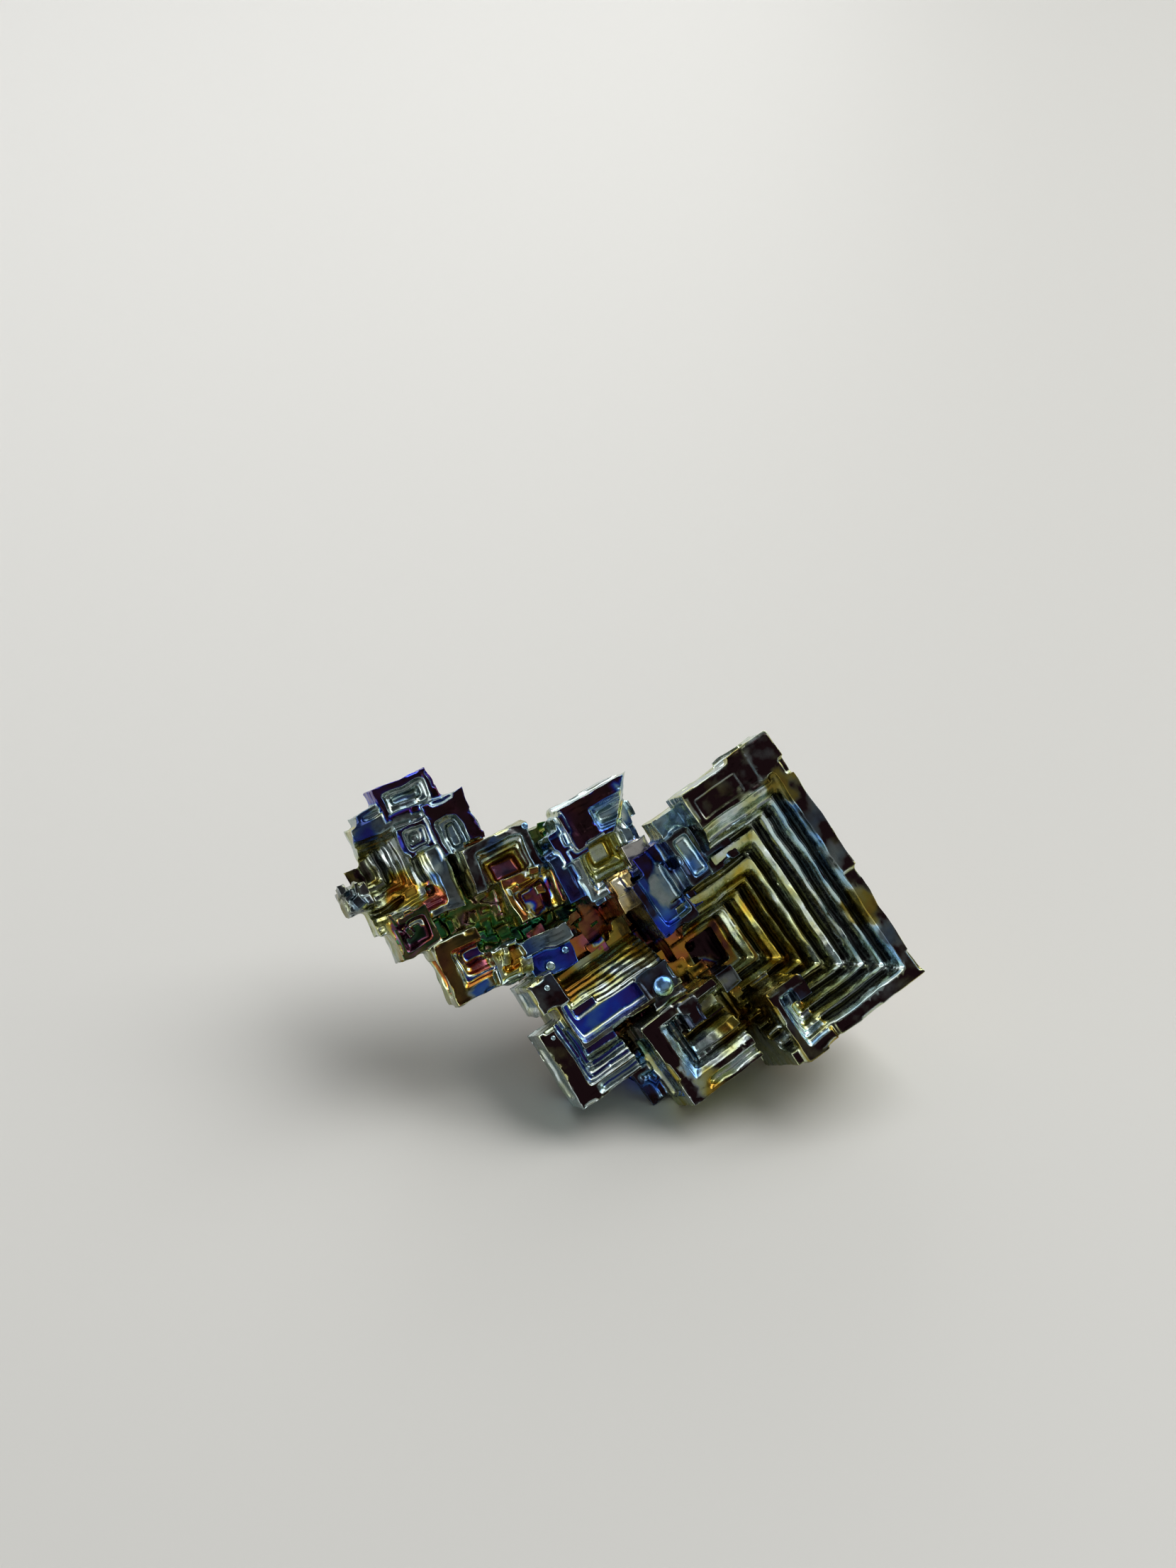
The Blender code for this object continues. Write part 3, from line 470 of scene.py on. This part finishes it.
def step_in(mesh, floor, widths, plane, depth=0.0):
    """Draw a pit's floor in by a width at each of its four sides, and take it a depth further down."""
    bmesh.ops.inset_individual(mesh, faces=[floor], thickness=0.0, depth=depth)
    centre = floor.calc_center_median()
    for axis, (low_width, high_width) in zip(plane, (widths[:2], widths[2:])):
        for vert in floor.verts:
            vert.co[axis] += low_width if vert.co[axis] < centre[axis] else -high_width


def pit_mesh(hollow, low, high):
    """The cutter of one stepped pit, with a furrow at the foot of each riser and a lip on each tread."""
    axis = AXES.index(hollow.face[1])
    outward = 1 if hollow.face[0] == "+" else -1
    first, second = plane = [other for other in range(3) if other != axis]
    face_level = high[axis] if outward > 0 else low[axis]
    near, far = [0.0] * 3, [0.0] * 3
    near[first], far[first] = low[first] + hollow.rims[0], high[first] - hollow.rims[1]
    near[second], far[second] = low[second] + hollow.rims[2], high[second] - hollow.rims[3]
    near[axis], far[axis] = sorted((face_level + outward * LIFT, face_level - outward * hollow.sink))
    mesh = box_mesh(near, far)
    inward = Vector([-outward if index == axis else 0 for index in range(3)])
    floor = max(mesh.faces, key=lambda face: face.normal.dot(inward))
    furrow = min(GROOVE_DEPTH, GROOVE_SINK * hollow.riser)
    crest = min(CREST, CREST_SHARE * hollow.riser)
    for number, step in enumerate(hollow.steps):
        if number:
            feet = [min(GROOVE_WIDTH, GROOVE_SHARE * width) for width in step.tread]
            sides = [GROOVE_SIDE * foot for foot in feet]
            step_in(mesh, floor, sides, plane, furrow)
            step_in(mesh, floor, [GROOVE_FLOOR * foot for foot in feet], plane)
            step_in(mesh, floor, sides, plane, -furrow - crest)
            step_in(mesh, floor, [width - foot for width, foot in zip(step.tread, feet)], plane)
        drop = hollow.riser + (crest if number else 0.0)
        shoulder, steep = ([share * width for width in step.slope] for share in (SHOULDER, 1 - SHOULDER))
        step_in(mesh, floor, shoulder, plane, SHOULDER_DROP * drop)
        step_in(mesh, floor, steep, plane, (1 - SHOULDER_DROP) * drop)
    return mesh


def combine(target, tool, operation):
    """Join a tool to the target or cut it from the target, then drop the tool."""
    boolean = target.modifiers.new(operation.title(), "BOOLEAN")
    boolean.operation = operation
    boolean.solver = "EXACT"
    boolean.object = tool
    bpy.context.view_layer.objects.active = target
    bpy.ops.object.modifier_apply(modifier=boolean.name)
    bpy.data.objects.remove(tool, do_unlink=True)


def cleave(mesh, point, facing):
    """Take off what lies beyond a flat break, and close the mesh there."""
    everything = list(mesh.verts) + list(mesh.edges) + list(mesh.faces)
    bmesh.ops.bisect_plane(mesh, geom=everything, plane_co=point, plane_no=facing, clear_outer=True)
    open_edges = [edge for edge in mesh.edges if edge.is_boundary]
    bmesh.ops.holes_fill(mesh, edges=open_edges)


def chip(box, dice):
    """A small block at one edge of a box, where the edge has broken away."""
    low, high = Vector(box[0]), Vector(box[1])
    along = dice.choice((0, 1))
    across = 1 - along
    length = dice.uniform(*CHIP_LENGTH)
    start = dice.uniform(low[along], max(low[along], high[along] - length))
    deep, wide = dice.uniform(*CHIP_SIZE), dice.uniform(*CHIP_SIZE)
    near, far = Vector(low), Vector(high)
    near[along], far[along] = start, start + length
    if dice.random() < 0.5:
        near[across], far[across] = high[across] - wide, high[across] + LIFT
    else:
        near[across], far[across] = low[across] - LIFT, low[across] + wide
    near.z, far.z = high.z - deep, high.z + LIFT
    return near, far


def shut_sides(crystal):
    """The sides of a crystal's first block that no pit opens on, as (axis, outward)."""
    taken = set()
    for hollow in crystal.pits:
        axis = AXES.index(hollow.face[1])
        taken.add((axis, int(hollow.face[0] == "+")))
        edges = [(other, outward) for other in range(3) if other != axis for outward in (0, 1)]
        taken.update(edge for edge, rim in zip(edges, hollow.rims) if rim < 0)
    if crystal.name in BREAKS:
        taken.update((axis, 1) for axis in range(3))
    if len(crystal.boxes) > 1:
        taken.add((2, 0))
    return [side for side in product(range(3), (0, 1)) if side not in taken]


def plate(box, side, dice):
    """A thin growth plate on one side of a box, reaching one of the side's corners."""
    low, high = Vector(box[0]), Vector(box[1])
    axis, outward = side
    thick = dice.uniform(*PLATE_THICK)
    near, far = Vector(low), Vector(high)
    for other in range(3):
        if other == axis:
            continue
        span = (high[other] - low[other]) * dice.uniform(*PLATE_SHARE)
        if dice.random() < 0.5:
            near[other], far[other] = low[other] + PLATE_INSET, low[other] + span
        else:
            near[other], far[other] = high[other] - span, high[other] - PLATE_INSET
    if outward:
        near[axis], far[axis] = high[axis] - SINK, high[axis] + thick
    else:
        near[axis], far[axis] = low[axis] - thick, low[axis] + SINK
    return near, far


def add_crumbs(mesh, crystal, dice):
    """Small cubes grown at odd angles out of the top of a crystal."""
    low, high = crystal.boxes[0]
    for _ in range(CRUMBS.get(crystal.name, 0)):
        middle = (dice.uniform(low[0], high[0]), dice.uniform(low[1], high[1]), high[2])
        size = (dice.uniform(*CRUMB_SIZE), dice.uniform(*CRUMB_SIZE), 2 * dice.uniform(*CRUMB_RISE))
        turn = Matrix.Rotation(radians(dice.gauss(0.0, CRUMB_TURN)), 4, "Z")
        lean = Matrix.Rotation(radians(dice.gauss(0.0, CRUMB_TURN)), 4, dice.choice("XY"))
        place = Matrix.Translation(middle) @ turn @ lean @ Matrix.Diagonal(size).to_4x4()
        bmesh.ops.create_cube(mesh, size=1.0, matrix=place)


def crystal_solid(crystal, lean, dice):
    """One crystal as a plain solid in its own stretch's lattice, chipped, pitted, plated and leant."""
    (low, high), *more_boxes = crystal.boxes
    solid = object_from(box_mesh(low, high), crystal.name)
    for corners in more_boxes:
        combine(solid, object_from(box_mesh(*corners), "block"), "UNION")
    for _ in range(CHIPS if high[0] - low[0] > CHIP_FROM else 0):
        combine(solid, object_from(box_mesh(*chip((low, high), dice)), "chip"), "DIFFERENCE")
    for hollow in crystal.pits:
        combine(solid, object_from(pit_mesh(hollow, low, high), "pit"), "DIFFERENCE")
    mesh = bmesh.new()
    mesh.from_mesh(solid.data)
    if crystal.name in BREAKS:
        cleave(mesh, *BREAKS[crystal.name])
    sides = shut_sides(crystal)
    for _ in range(PLATES if sides and high[0] - low[0] > CHIP_FROM else 0):
        near, far = plate((low, high), dice.choice(sides), dice)
        place = Matrix.Translation((near + far) / 2) @ Matrix.Diagonal(far - near).to_4x4()
        bmesh.ops.create_cube(mesh, size=1.0, matrix=place)
    add_crumbs(mesh, crystal, dice)
    mesh.transform(lean)
    mesh.to_mesh(solid.data)
    mesh.free()
    return solid


def lean_about(crystal, dice):
    """The small turn of a crystal out of its neighbours' lattice."""
    low, high = crystal.boxes[0]
    centre = Matrix.Translation((Vector(low) + Vector(high)) / 2)
    lean = Matrix.Identity(4)
    for axis in "XYZ":
        lean = lean @ Matrix.Rotation(radians(dice.uniform(-GRAIN_TILT, GRAIN_TILT)), 4, axis)
    return centre @ lean @ centre.inverted()


def merge(objects, name):
    """Join objects into one."""
    bpy.ops.object.select_all(action="DESELECT")
    for obj in objects:
        obj.select_set(True)
    bpy.context.view_layer.objects.active = objects[0]
    if len(objects) > 1:
        bpy.ops.object.join()
    objects[0].name = objects[0].data.name = name
    return objects[0]


def apply_modifier(obj, kind, **settings):
    modifier = obj.modifiers.new(kind.title(), kind)
    for setting, value in settings.items():
        setattr(modifier, setting, value)
    bpy.context.view_layer.objects.active = obj
    bpy.ops.object.modifier_apply(modifier=modifier.name)


def read_points(data, what):
    """The places or normals of a mesh's vertices as an array."""
    values = np.empty(len(data.vertices) * 3, dtype=np.float32)
    data.vertices.foreach_get(what, values)
    return values.reshape(-1, 3)


def grown_lines(along, dice, spacing):
    """Uneven fine lines: a smooth random height that depends on one coordinate only."""
    low, high = along.min(), along.max()
    count = max(2, int((high - low) / spacing) + 2)
    heights = [dice.random() for _ in range(count)]
    return np.interp(along, np.linspace(low, high, count), heights)


def noise_over(points, length, shift):
    return np.array([noise.noise(Vector(point) / length + shift) for point in points], dtype=np.float32)


def depth_of(crystal):
    front = [hollow for hollow in crystal.pits if hollow.face == "+w"]
    return max((hollow.sink + len(hollow.steps) * hollow.riser for hollow in front), default=1.0)


def even_out(data, values, rings):
    """Values at a mesh's points, averaged over some rings of neighbours."""
    edges = np.empty(len(data.edges) * 2, dtype=np.int32)
    data.edges.foreach_get("vertices", edges)
    one, other = edges.reshape(-1, 2).T
    near, far = np.concatenate((one, other)), np.concatenate((other, one))
    size = len(values)
    count = np.bincount(near, minlength=size)
    evened = values.astype(np.float64)
    for _ in range(rings):
        sums = [np.bincount(near, weights=column[far], minlength=size) for column in evened.T]
        evened = 0.5 * evened + 0.5 * np.stack(sums, axis=1) / count[:, None]
    return evened


def write_layer(data, name, values):
    layer = data.attributes.get(name) or data.attributes.new(name, "FLOAT", "POINT")
    layer.data.foreach_set("value", values.astype(np.float32))


def paint_recess_shade(obj):
    """Paint shade wherever the walls near a point shut it in: the more of the room about it they hide, the
    darker it is made, as painted shade in the tarnish layer.
    """
    data = obj.data
    faces = [face.vertices for face in data.polygons]
    tree = BVHTree.FromPolygons([vert.co for vert in data.vertices], faces)
    ways = [Vector(way).normalized() for way in product((-1, 0, 1), repeat=3) if any(way)]
    shut = []
    for vert in data.vertices:
        start = vert.co + SKIN * vert.normal
        facing = [(way, way.dot(vert.normal)) for way in ways]
        facing = [(way, share) for way, share in facing if share > FACING]
        met = sum(share for way, share in facing if tree.ray_cast(start, way, SHUT_REACH)[0])
        shut.append(met / sum(share for _, share in facing))
    shut = even_out(data, np.array(shut)[:, None], SHUT_RINGS)[:, 0]
    tarnish = np.empty(len(shut), dtype=np.float32)
    data.attributes["tarnish"].data.foreach_get("value", tarnish)
    # The painted shade goes into the same layer as the tarnish.
    write_layer(data, "tarnish", np.maximum(tarnish, ramp(shut, SHUT_FROM, SHUT_TO)))


def ramp(values, start, end):
    return np.clip((values - start) / (end - start), 0.0, 1.0)


def between(ends, share):
    """The film part of the way from a pit's top to its foot."""
    return ends[0] + (ends[1] - ends[0]) * share


def film_on(crystal, here, face):
    """The film, the darkness (part tarnish, part painted shade) and the distance to the rim over some points
    of one crystal.

    face is the squares of the points' normals, which tell how much each faces along u, v and w.
    """
    plan = crystal.oxide
    low, high = np.array(crystal.boxes[0][0]), np.array(crystal.boxes[0][1])
    rim = np.minimum(here[:, :2] - low[:2], high[:2] - here[:, :2]).min(axis=1)
    below = high[2] - here[:, 2]
    share = ramp(below, 0.0, depth_of(crystal))
    outer, cap = rim < OUTER, below < CAP_DEPTH
    top = np.where(cap, plan.cap, between(plan.floor, share))
    wall_u = np.where(outer, plan.side, between(plan.wall_u, share))
    wall_v = np.where(outer, plan.side, between(plan.wall_v, share))
    walls = face[:, 0] + face[:, 1]
    wall = (face[:, 0] * wall_u + face[:, 1] * wall_v) / np.maximum(walls, 1e-6)
    # Caps and treads get their dark share here by how squarely they face out of the hollow: part tarnish,
    # part painted shade.
    flat = ramp(face[:, 2], FLAT_FROM, FLAT_TO)
    gloom = np.where(outer, plan.gloom, plan.veil)
    dull = np.where(cap, plan.tarnish, plan.dull)
    return wall + (top - wall) * flat, gloom + (dull - gloom) * flat, rim


def lay_patches(points, stretch, film, tarnish, shift):
    """Lay the patches of one stretch over its film and its darkness, part tarnish and part painted shade,
    each with a ragged edge.
    """
    for patch in PATCHES:
        if patch.stretch != stretch:
            continue
        far_off = np.linalg.norm(points - np.array(patch.place), axis=1)
        near = np.flatnonzero(far_off < 2 * RAGGED * patch.radius)
        edge = RAGGED * patch.radius * noise_over(points[near], RAGGED_LENGTH * patch.radius, shift)
        share = 1.0 - ramp(far_off[near] + edge, RAGGED * patch.radius, patch.radius)
        film[near] += share * (patch.film - film[near])
        tarnish[near] += share * (patch.tarnish - tarnish[near])


def work_surface(obj, crystals, owners, wander, dice):
    """Wave and flute the surface, mostly inwards, and write its film, its darkness (part tarnish, part
    painted shade), its painted crest highlight and place.
    """
    data = obj.data
    points, normals = read_points(data, "co"), read_points(data, "normal")
    shift = Vector([dice.uniform(0, SHIFT_REACH) for _ in range(3)])
    depth = WAVE * (0.5 + 0.5 * noise_over(points, WAVE_LENGTH, shift))
    depth += RIPPLE * (0.5 + 0.5 * noise_over(points, RIPPLE_LENGTH, shift))
    film = np.zeros(len(points))
    tarnish = np.zeros(len(points))
    toward = normals ** 2
    for number, crystal in enumerate(crystals):
        mine = owners == number
        if not mine.any():
            continue
        here, face = points[mine], toward[mine]
        film[mine], tarnish[mine], rim = film_on(crystal, here, face)
        if crystal.name in CRUMBS:
            film[mine] += CRUMB_FILM * noise_over(here, CRUMB_SIZE[1], shift)
        depth[mine] += FLUTE * (face[:, 0] + face[:, 1]) * grown_lines(here[:, 2], dice, FLUTE_STEP)
        depth[mine] += FLUTE * face[:, 2] * grown_lines(rim, dice, FLUTE_STEP)
    lay_patches(points, crystals[0].stretch, film, tarnish, shift)
    # Crests are painted lighter as a painted highlight: their darkness is lifted and their highlight mask is
    # written.
    stands_out = ((points - even_out(data, points, CREST_RINGS)) * normals).sum(axis=1)
    crest = ramp(stands_out, CREST_FROM, CREST_TO)
    place = data.attributes.new("place", "FLOAT_VECTOR", "POINT")
    place.data.foreach_set("vector", points.ravel())
    write_layer(data, "film", film)
    write_layer(data, "tarnish", tarnish * (1.0 - CREST_LIGHTEN * crest))
    write_layer(data, "crest_highlight", crest)
    warp = sum(
        strength * np.array([noise.noise_vector(Vector(point) / length + shift) for point in points])
        for length, strength in WARPS
    )
    points += (wander * warp - normals * depth[:, None]).astype(np.float32)
    data.vertices.foreach_set("co", points.ravel())


def set_in_frame(obj, stretch):
    """Take a finished shape from its stretch's lattice to the frame, and keep it inside the solid's box."""
    obj.data.transform(lattice_to_frame() @ turn_between(STRETCHES[stretch]))
    lowest, highest = cad_box
    points = np.clip(read_points(obj.data, "co"), np.array(lowest), np.array(highest))
    obj.data.vertices.foreach_set("co", points.ravel())
    obj.data.update()


def grow_piece(name, crystals, leans, finish, dice, metal):
    """The crystals of one piece, grown into one skin and finished."""
    solids = [crystal_solid(crystal, leans[crystal.name], dice) for crystal in crystals]
    owner_of_face = []
    tree_points, tree_faces = [], []
    for number, solid in enumerate(solids):
        first = len(tree_points)
        tree_points += [vert.co.copy() for vert in solid.data.vertices]
        tree_faces += [[first + index for index in face.vertices] for face in solid.data.polygons]
        owner_of_face += [number] * len(solid.data.polygons)
    tree = BVHTree.FromPolygons(tree_points, tree_faces)
    piece = merge(solids, name)
    apply_modifier(piece, "REMESH", mode="VOXEL", voxel_size=SKIN, use_smooth_shade=True)
    apply_modifier(piece, "SMOOTH", factor=0.5, iterations=finish.smoothing)
    nearest = [tree.find_nearest(vert.co)[2] for vert in piece.data.vertices]
    owners = np.array(owner_of_face)[nearest]
    work_surface(piece, crystals, owners, finish.wander, dice)
    apply_modifier(piece, "DECIMATE", decimate_type="COLLAPSE", ratio=KEEP, use_collapse_triangulate=True)
    # Recesses are darkened here as painted shade.
    paint_recess_shade(piece)
    set_in_frame(piece, finish.stretch)
    piece.data.shade_smooth()
    piece.data.materials.clear()
    piece.data.materials.append(metal)
    declare(piece)
    return piece


def declare(piece):
    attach(piece, BODY)
    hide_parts(NODE)


def spine_crystals():
    """The small cubes of the spine, evenly set from one end of it to the other."""
    half = Vector((SPINE_CUBE / 2, SPINE_CUBE / 2, 0.0))
    for number in range(SPINE_CUBES):
        top = SPINE_FROM.lerp(SPINE_TO, number / (SPINE_CUBES - 1))
        low = top - half - Vector((0.0, 0.0, SPINE_DEPTH))
        film = PINK + (GOLD - PINK) * number / (SPINE_CUBES - 1)
        finish = oxide(film, film, film, side=film, tarnish=0.1, gloom=0.1)
        yield Crystal(f"spine_{number}", "thick", ((tuple(low), tuple(top + half)),), (), finish)


def add_node(tree, kind, settings=None, **inputs):
    """A shader node with its settings, values and links; an input named i0 is the first one."""
    node = tree.nodes.new(kind)
    for name, value in (settings or {}).items():
        setattr(node, name, value)
    for name, value in inputs.items():
        socket = node.inputs[int(name[1:])] if name[1:].isdigit() else node.inputs[name]
        if isinstance(value, bpy.types.NodeSocket):
            tree.links.new(value, socket)
        else:
            socket.default_value = value
    return node


TIMES = {"operation": "MULTIPLY"}
SCALED_SUM = {"operation": "MULTIPLY_ADD"}
CLAMPED_SUM = {"operation": "MULTIPLY_ADD", "use_clamp": True}
COLOURS = {"data_type": "RGBA"}
# The maroon black of tarnish and of painted shade.
TARNISH_AND_SHADE = "#27181b"
# The pale metal of the painted crest highlight.
CREST_HIGHLIGHT_COLOUR = "#c4c9c4"


def film_colour(tree, place):
    """The colour of the oxide film, whose thickness drifts in 3 mm clouds and in bands along each step."""
    film = add_node(tree, "ShaderNodeAttribute", {"attribute_name": "film"}).outputs["Fac"]
    clouds = add_node(tree, "ShaderNodeTexNoise", Vector=place, Scale=0.33, Detail=3.0).outputs["Fac"]
    flat = add_node(tree, "ShaderNodeVectorMath", TIMES, i0=place, i1=(0.35, 0.35, 2.2)).outputs[0]
    bands = add_node(tree, "ShaderNodeTexNoise", Vector=flat, Scale=0.9, Detail=2.0).outputs["Fac"]
    drift = add_node(tree, "ShaderNodeMath", SCALED_SUM, i0=clouds, i1=0.26, i2=-0.17).outputs[0]
    drift = add_node(tree, "ShaderNodeMath", SCALED_SUM, i0=bands, i1=0.08, i2=drift).outputs[0]
    thickness = add_node(tree, "ShaderNodeMath", {"operation": "ADD", "use_clamp": True}, i0=film, i1=drift)
    colours = add_node(tree, "ShaderNodeValToRGB", i0=thickness.outputs[0])
    stops = colours.color_ramp.elements
    while len(stops) < len(FILM_COLOURS):
        stops.new(1.0)
    for stop, (at, colour) in zip(stops, FILM_COLOURS):
        stop.position = at
        stop.color = linear(colour)
    return colours.outputs["Color"]


def tarnished_and_shaded(tree, place, colour):
    """A colour under dark tarnish and painted shade, in blotches 1 to 2 mm across."""
    tarnish = add_node(tree, "ShaderNodeAttribute", {"attribute_name": "tarnish"}).outputs["Fac"]
    blotches = add_node(tree, "ShaderNodeTexNoise", Vector=place, Scale=0.6, Detail=4.0).outputs["Fac"]
    cover = add_node(tree, "ShaderNodeMath", SCALED_SUM, i0=blotches, i1=0.5, i2=0.78).outputs[0]
    dark = add_node(tree, "ShaderNodeMath", {**TIMES, "use_clamp": True}, i0=tarnish, i1=cover).outputs[0]
    return add_node(tree, "ShaderNodeMix", COLOURS, i0=dark, i6=colour, i7=linear(TARNISH_AND_SHADE)).outputs[2]


def with_crest_highlight(tree, place, colour):
    """A colour painted pale on the crests here and there: a painted highlight along the ridges."""
    crest_highlight = add_node(tree, "ShaderNodeAttribute", {"attribute_name": "crest_highlight"}).outputs["Fac"]
    highlight_breakup = add_node(tree, "ShaderNodeTexNoise", Vector=place, Scale=0.9, Detail=2.0).outputs["Fac"]
    highlight_breakup = add_node(tree, "ShaderNodeMath", CLAMPED_SUM, i0=highlight_breakup, i1=2.0, i2=-0.95).outputs[0]
    highlight_share = add_node(tree, "ShaderNodeMath", CLAMPED_SUM, i0=crest_highlight, i1=highlight_breakup, i2=-0.1).outputs[0]
    return add_node(tree, "ShaderNodeMix", COLOURS, i0=highlight_share, i6=colour, i7=linear(CREST_HIGHLIGHT_COLOUR)).outputs[2]


def relief(tree, place):
    """Growth lines 0.1 mm apart along the steps, over small dents."""
    layered = add_node(tree, "ShaderNodeVectorMath", TIMES, i0=place, i1=(0.15, 0.15, 4.0)).outputs[0]
    lines = add_node(tree, "ShaderNodeTexNoise", Vector=layered, Scale=1.0, Detail=1.0).outputs["Fac"]
    dents = add_node(tree, "ShaderNodeTexNoise", Vector=place, Scale=2.0, Detail=1.0).outputs["Fac"]
    height = add_node(tree, "ShaderNodeMath", SCALED_SUM, i0=dents, i1=0.4, i2=lines).outputs[0]
    return add_node(tree, "ShaderNodeBump", Strength=0.5, Distance=0.04 * MM, Height=height).outputs["Normal"]


def bismuth_metal():
    """Bismuth metal under a thin, glassy oxide film whose thickness sets its colour."""
    material = bpy.data.materials.new("oxide_film_bismuth")
    material.use_nodes = True
    tree = material.node_tree
    shader = tree.nodes["Principled BSDF"]
    place = add_node(tree, "ShaderNodeAttribute", {"attribute_name": "place"}).outputs["Vector"]
    colour = with_crest_highlight(tree, place, tarnished_and_shaded(tree, place, film_colour(tree, place)))
    grime = add_node(tree, "ShaderNodeTexNoise", Vector=place, Scale=2.4, Detail=3.0).outputs["Fac"]
    rough = add_node(tree, "ShaderNodeMath", CLAMPED_SUM, i0=grime, i1=0.34, i2=0.06).outputs[0]
    tree.links.new(colour, shader.inputs["Base Color"])
    tree.links.new(rough, shader.inputs["Roughness"])
    tree.links.new(relief(tree, place), shader.inputs["Normal"])
    shader.inputs["Metallic"].default_value = 1.0
    return material


# Beads of metal left on the faces: each one's stretch, place in the lattice, radius and flatness.
Bead = namedtuple("Bead", "stretch place radius flat")
# The painted highlight, as pale metal, that the beads take.
BEAD_HIGHLIGHT = 0.3
BEADS = (
    Bead("thick", (-12.1, -19.1, -4.45), 0.95, 0.6),
    Bead("thick", (-20.1, -8.5, -3.7), 0.5, 0.8),
    Bead("front", (-17.9, -27.9, -4.35), 0.26, 0.5),
    Bead("front", (-14.1, -29.9, -3.9), 0.2, 0.4),
    Bead("thin", (-19.6, -23.6, -8.35), 0.34, 0.6),
    Bead("thin", (-18.9, -25.4, -8.4), 0.42, 0.35),
    Bead("thin", (-31.0, -22.4, -7.05), 0.3, 0.5),
)


def bead(spot, metal):
    mesh = bmesh.new()
    place = Matrix.Translation(spot.place) @ Matrix.Diagonal((1.0, 1.0, spot.flat, 1.0))
    bmesh.ops.create_icosphere(mesh, subdivisions=4, radius=spot.radius, matrix=place)
    here = mesh.verts.layers.float_vector.new("place")
    film = mesh.verts.layers.float.new("film")
    tarnish = mesh.verts.layers.float.new("tarnish")
    crest_highlight = mesh.verts.layers.float.new("crest_highlight")
    for vert in mesh.verts:
        vert[here] = vert.co
        vert[film] = SKY
        vert[tarnish] = 0.0
        vert[crest_highlight] = BEAD_HIGHLIGHT
    mesh.transform(lattice_to_frame() @ turn_between(STRETCHES[spot.stretch]))
    obj = object_from(mesh, "bead")
    obj.data.shade_smooth()
    obj.data.materials.append(metal)
    return obj


# The camera looks at the cluster from its hollow side, from this height above the horizon.
CAMERA_HEIGHT = radians(32.0)
CAMERA_PLACE = Vector((-3.51, -170.23, 133.92)) * MM
LENS = 54.08
SENSOR = 36.0
NEAREST = 0.005  # how near to the camera things still show
FLOOR_SIZE = 3.0


def add_camera():
    camera = bpy.data.objects.new("camera", bpy.data.cameras.new("camera"))
    camera.data.lens = LENS
    camera.data.sensor_width = SENSOR
    camera.data.clip_start = NEAREST
    camera.location = CAMERA_PLACE
    camera.rotation_euler = (pi / 2 - CAMERA_HEIGHT, 0.0, 0.0)
    bpy.context.scene.collection.objects.link(camera)
    bpy.context.scene.camera = camera


def matte(name, colour, roughness):
    material = bpy.data.materials.new(name)
    material.use_nodes = True
    shader = material.node_tree.nodes["Principled BSDF"]
    shader.inputs["Base Color"].default_value = linear(colour)
    shader.inputs["Roughness"].default_value = roughness
    return material


def add_floor():
    """A pale satin table top that carries on past the picture's edges."""
    bpy.ops.mesh.primitive_plane_add(size=FLOOR_SIZE)
    floor = bpy.context.object
    floor.name = "floor"
    floor.data.materials.append(matte("pale table top", "#dcdbd5", 0.5))


def add_light(name, place, size, power, mirrored_only=False):
    """A soft panel aimed at the cluster. A mirrored one only shows in the metal, as a room's wall would."""
    light = bpy.data.lights.new(name, "AREA")
    light.energy = power
    light.shape = "RECTANGLE"
    light.size, light.size_y = size
    obj = bpy.data.objects.new(name, light)
    obj.location = place
    obj.rotation_euler = (-Vector(place)).to_track_quat("-Z", "Y").to_euler()
    obj.visible_camera = False
    obj.visible_diffuse = not mirrored_only
    bpy.context.scene.collection.objects.link(obj)


def add_studio():
    """A wide soft light above and behind on the right, with the pale walls of a dim grey room."""
    world = bpy.data.worlds.new("room")
    world.use_nodes = True
    world.node_tree.nodes["Background"].inputs["Color"].default_value = linear("#8f9092")
    world.node_tree.nodes["Background"].inputs["Strength"].default_value = 0.45
    bpy.context.scene.world = world
    add_light("overhead", (0.42, 0.25, 0.7), (0.9, 0.75), 7.6)
    add_light("ceiling", (-0.35, 0.35, 0.8), (0.9, 0.7), 3.0, mirrored_only=True)
    add_light("glow behind", (-0.35, 0.9, 0.35), (1.1, 0.45), 5.0, mirrored_only=True)
    add_light("left wall", (-0.9, -0.1, 0.45), (0.9, 0.7), 2.4, mirrored_only=True)
    add_light("front wall", (-0.75, -1.1, 0.22), (1.4, 0.5), 4.5, mirrored_only=True)
    add_light("window", (-0.9, -0.75, 0.3), (0.25, 0.4), 1.6, mirrored_only=True)
    add_light("right wall", (0.6, -0.9, 0.65), (1.2, 0.8), 0.8, mirrored_only=True)


# The pieces: each is a skin over some of the crystals of one stretch, and great tells whether they
# are those of the great hopper. Its edges are evened out by so many rounds of smoothing, and
# wander so far.
GREAT = ("great_hopper", "great_back", "top_bar", "corner_hopper", "corner_tooth")
Finish = namedtuple("Finish", "stretch great smoothing wander")
PIECES = {
    "great_hopper": Finish("thick", True, 4, 0.14),
    "heart_crystals": Finish("thick", False, 2, 0.16),
    "front_crystals": Finish("front", False, 2, 0.14),
    "pointed_crystals": Finish("middle", False, 2, 0.22),
    "branch_crystals": Finish("thin", False, 3, 0.32),
}

add_camera()
add_floor()
add_studio()
metal = bismuth_metal()
dice = random.Random(GRAIN_SEED)
noise.seed_set(GRAIN_SEED)
everything = (*CRYSTALS, *spine_crystals())
leans = {crystal.name: lean_about(crystal, dice) for crystal in everything}
for name, finish in PIECES.items():
    crystals = [crystal for crystal in everything
                if crystal.stretch == finish.stretch and (crystal.name in GREAT) == finish.great]
    grow_piece(name, crystals, leans, finish, random.Random(name), metal)
declare(merge([bead(spot, metal) for spot in BEADS], "metal_beads"))
bpy.context.scene.view_settings.view_transform = "Standard"
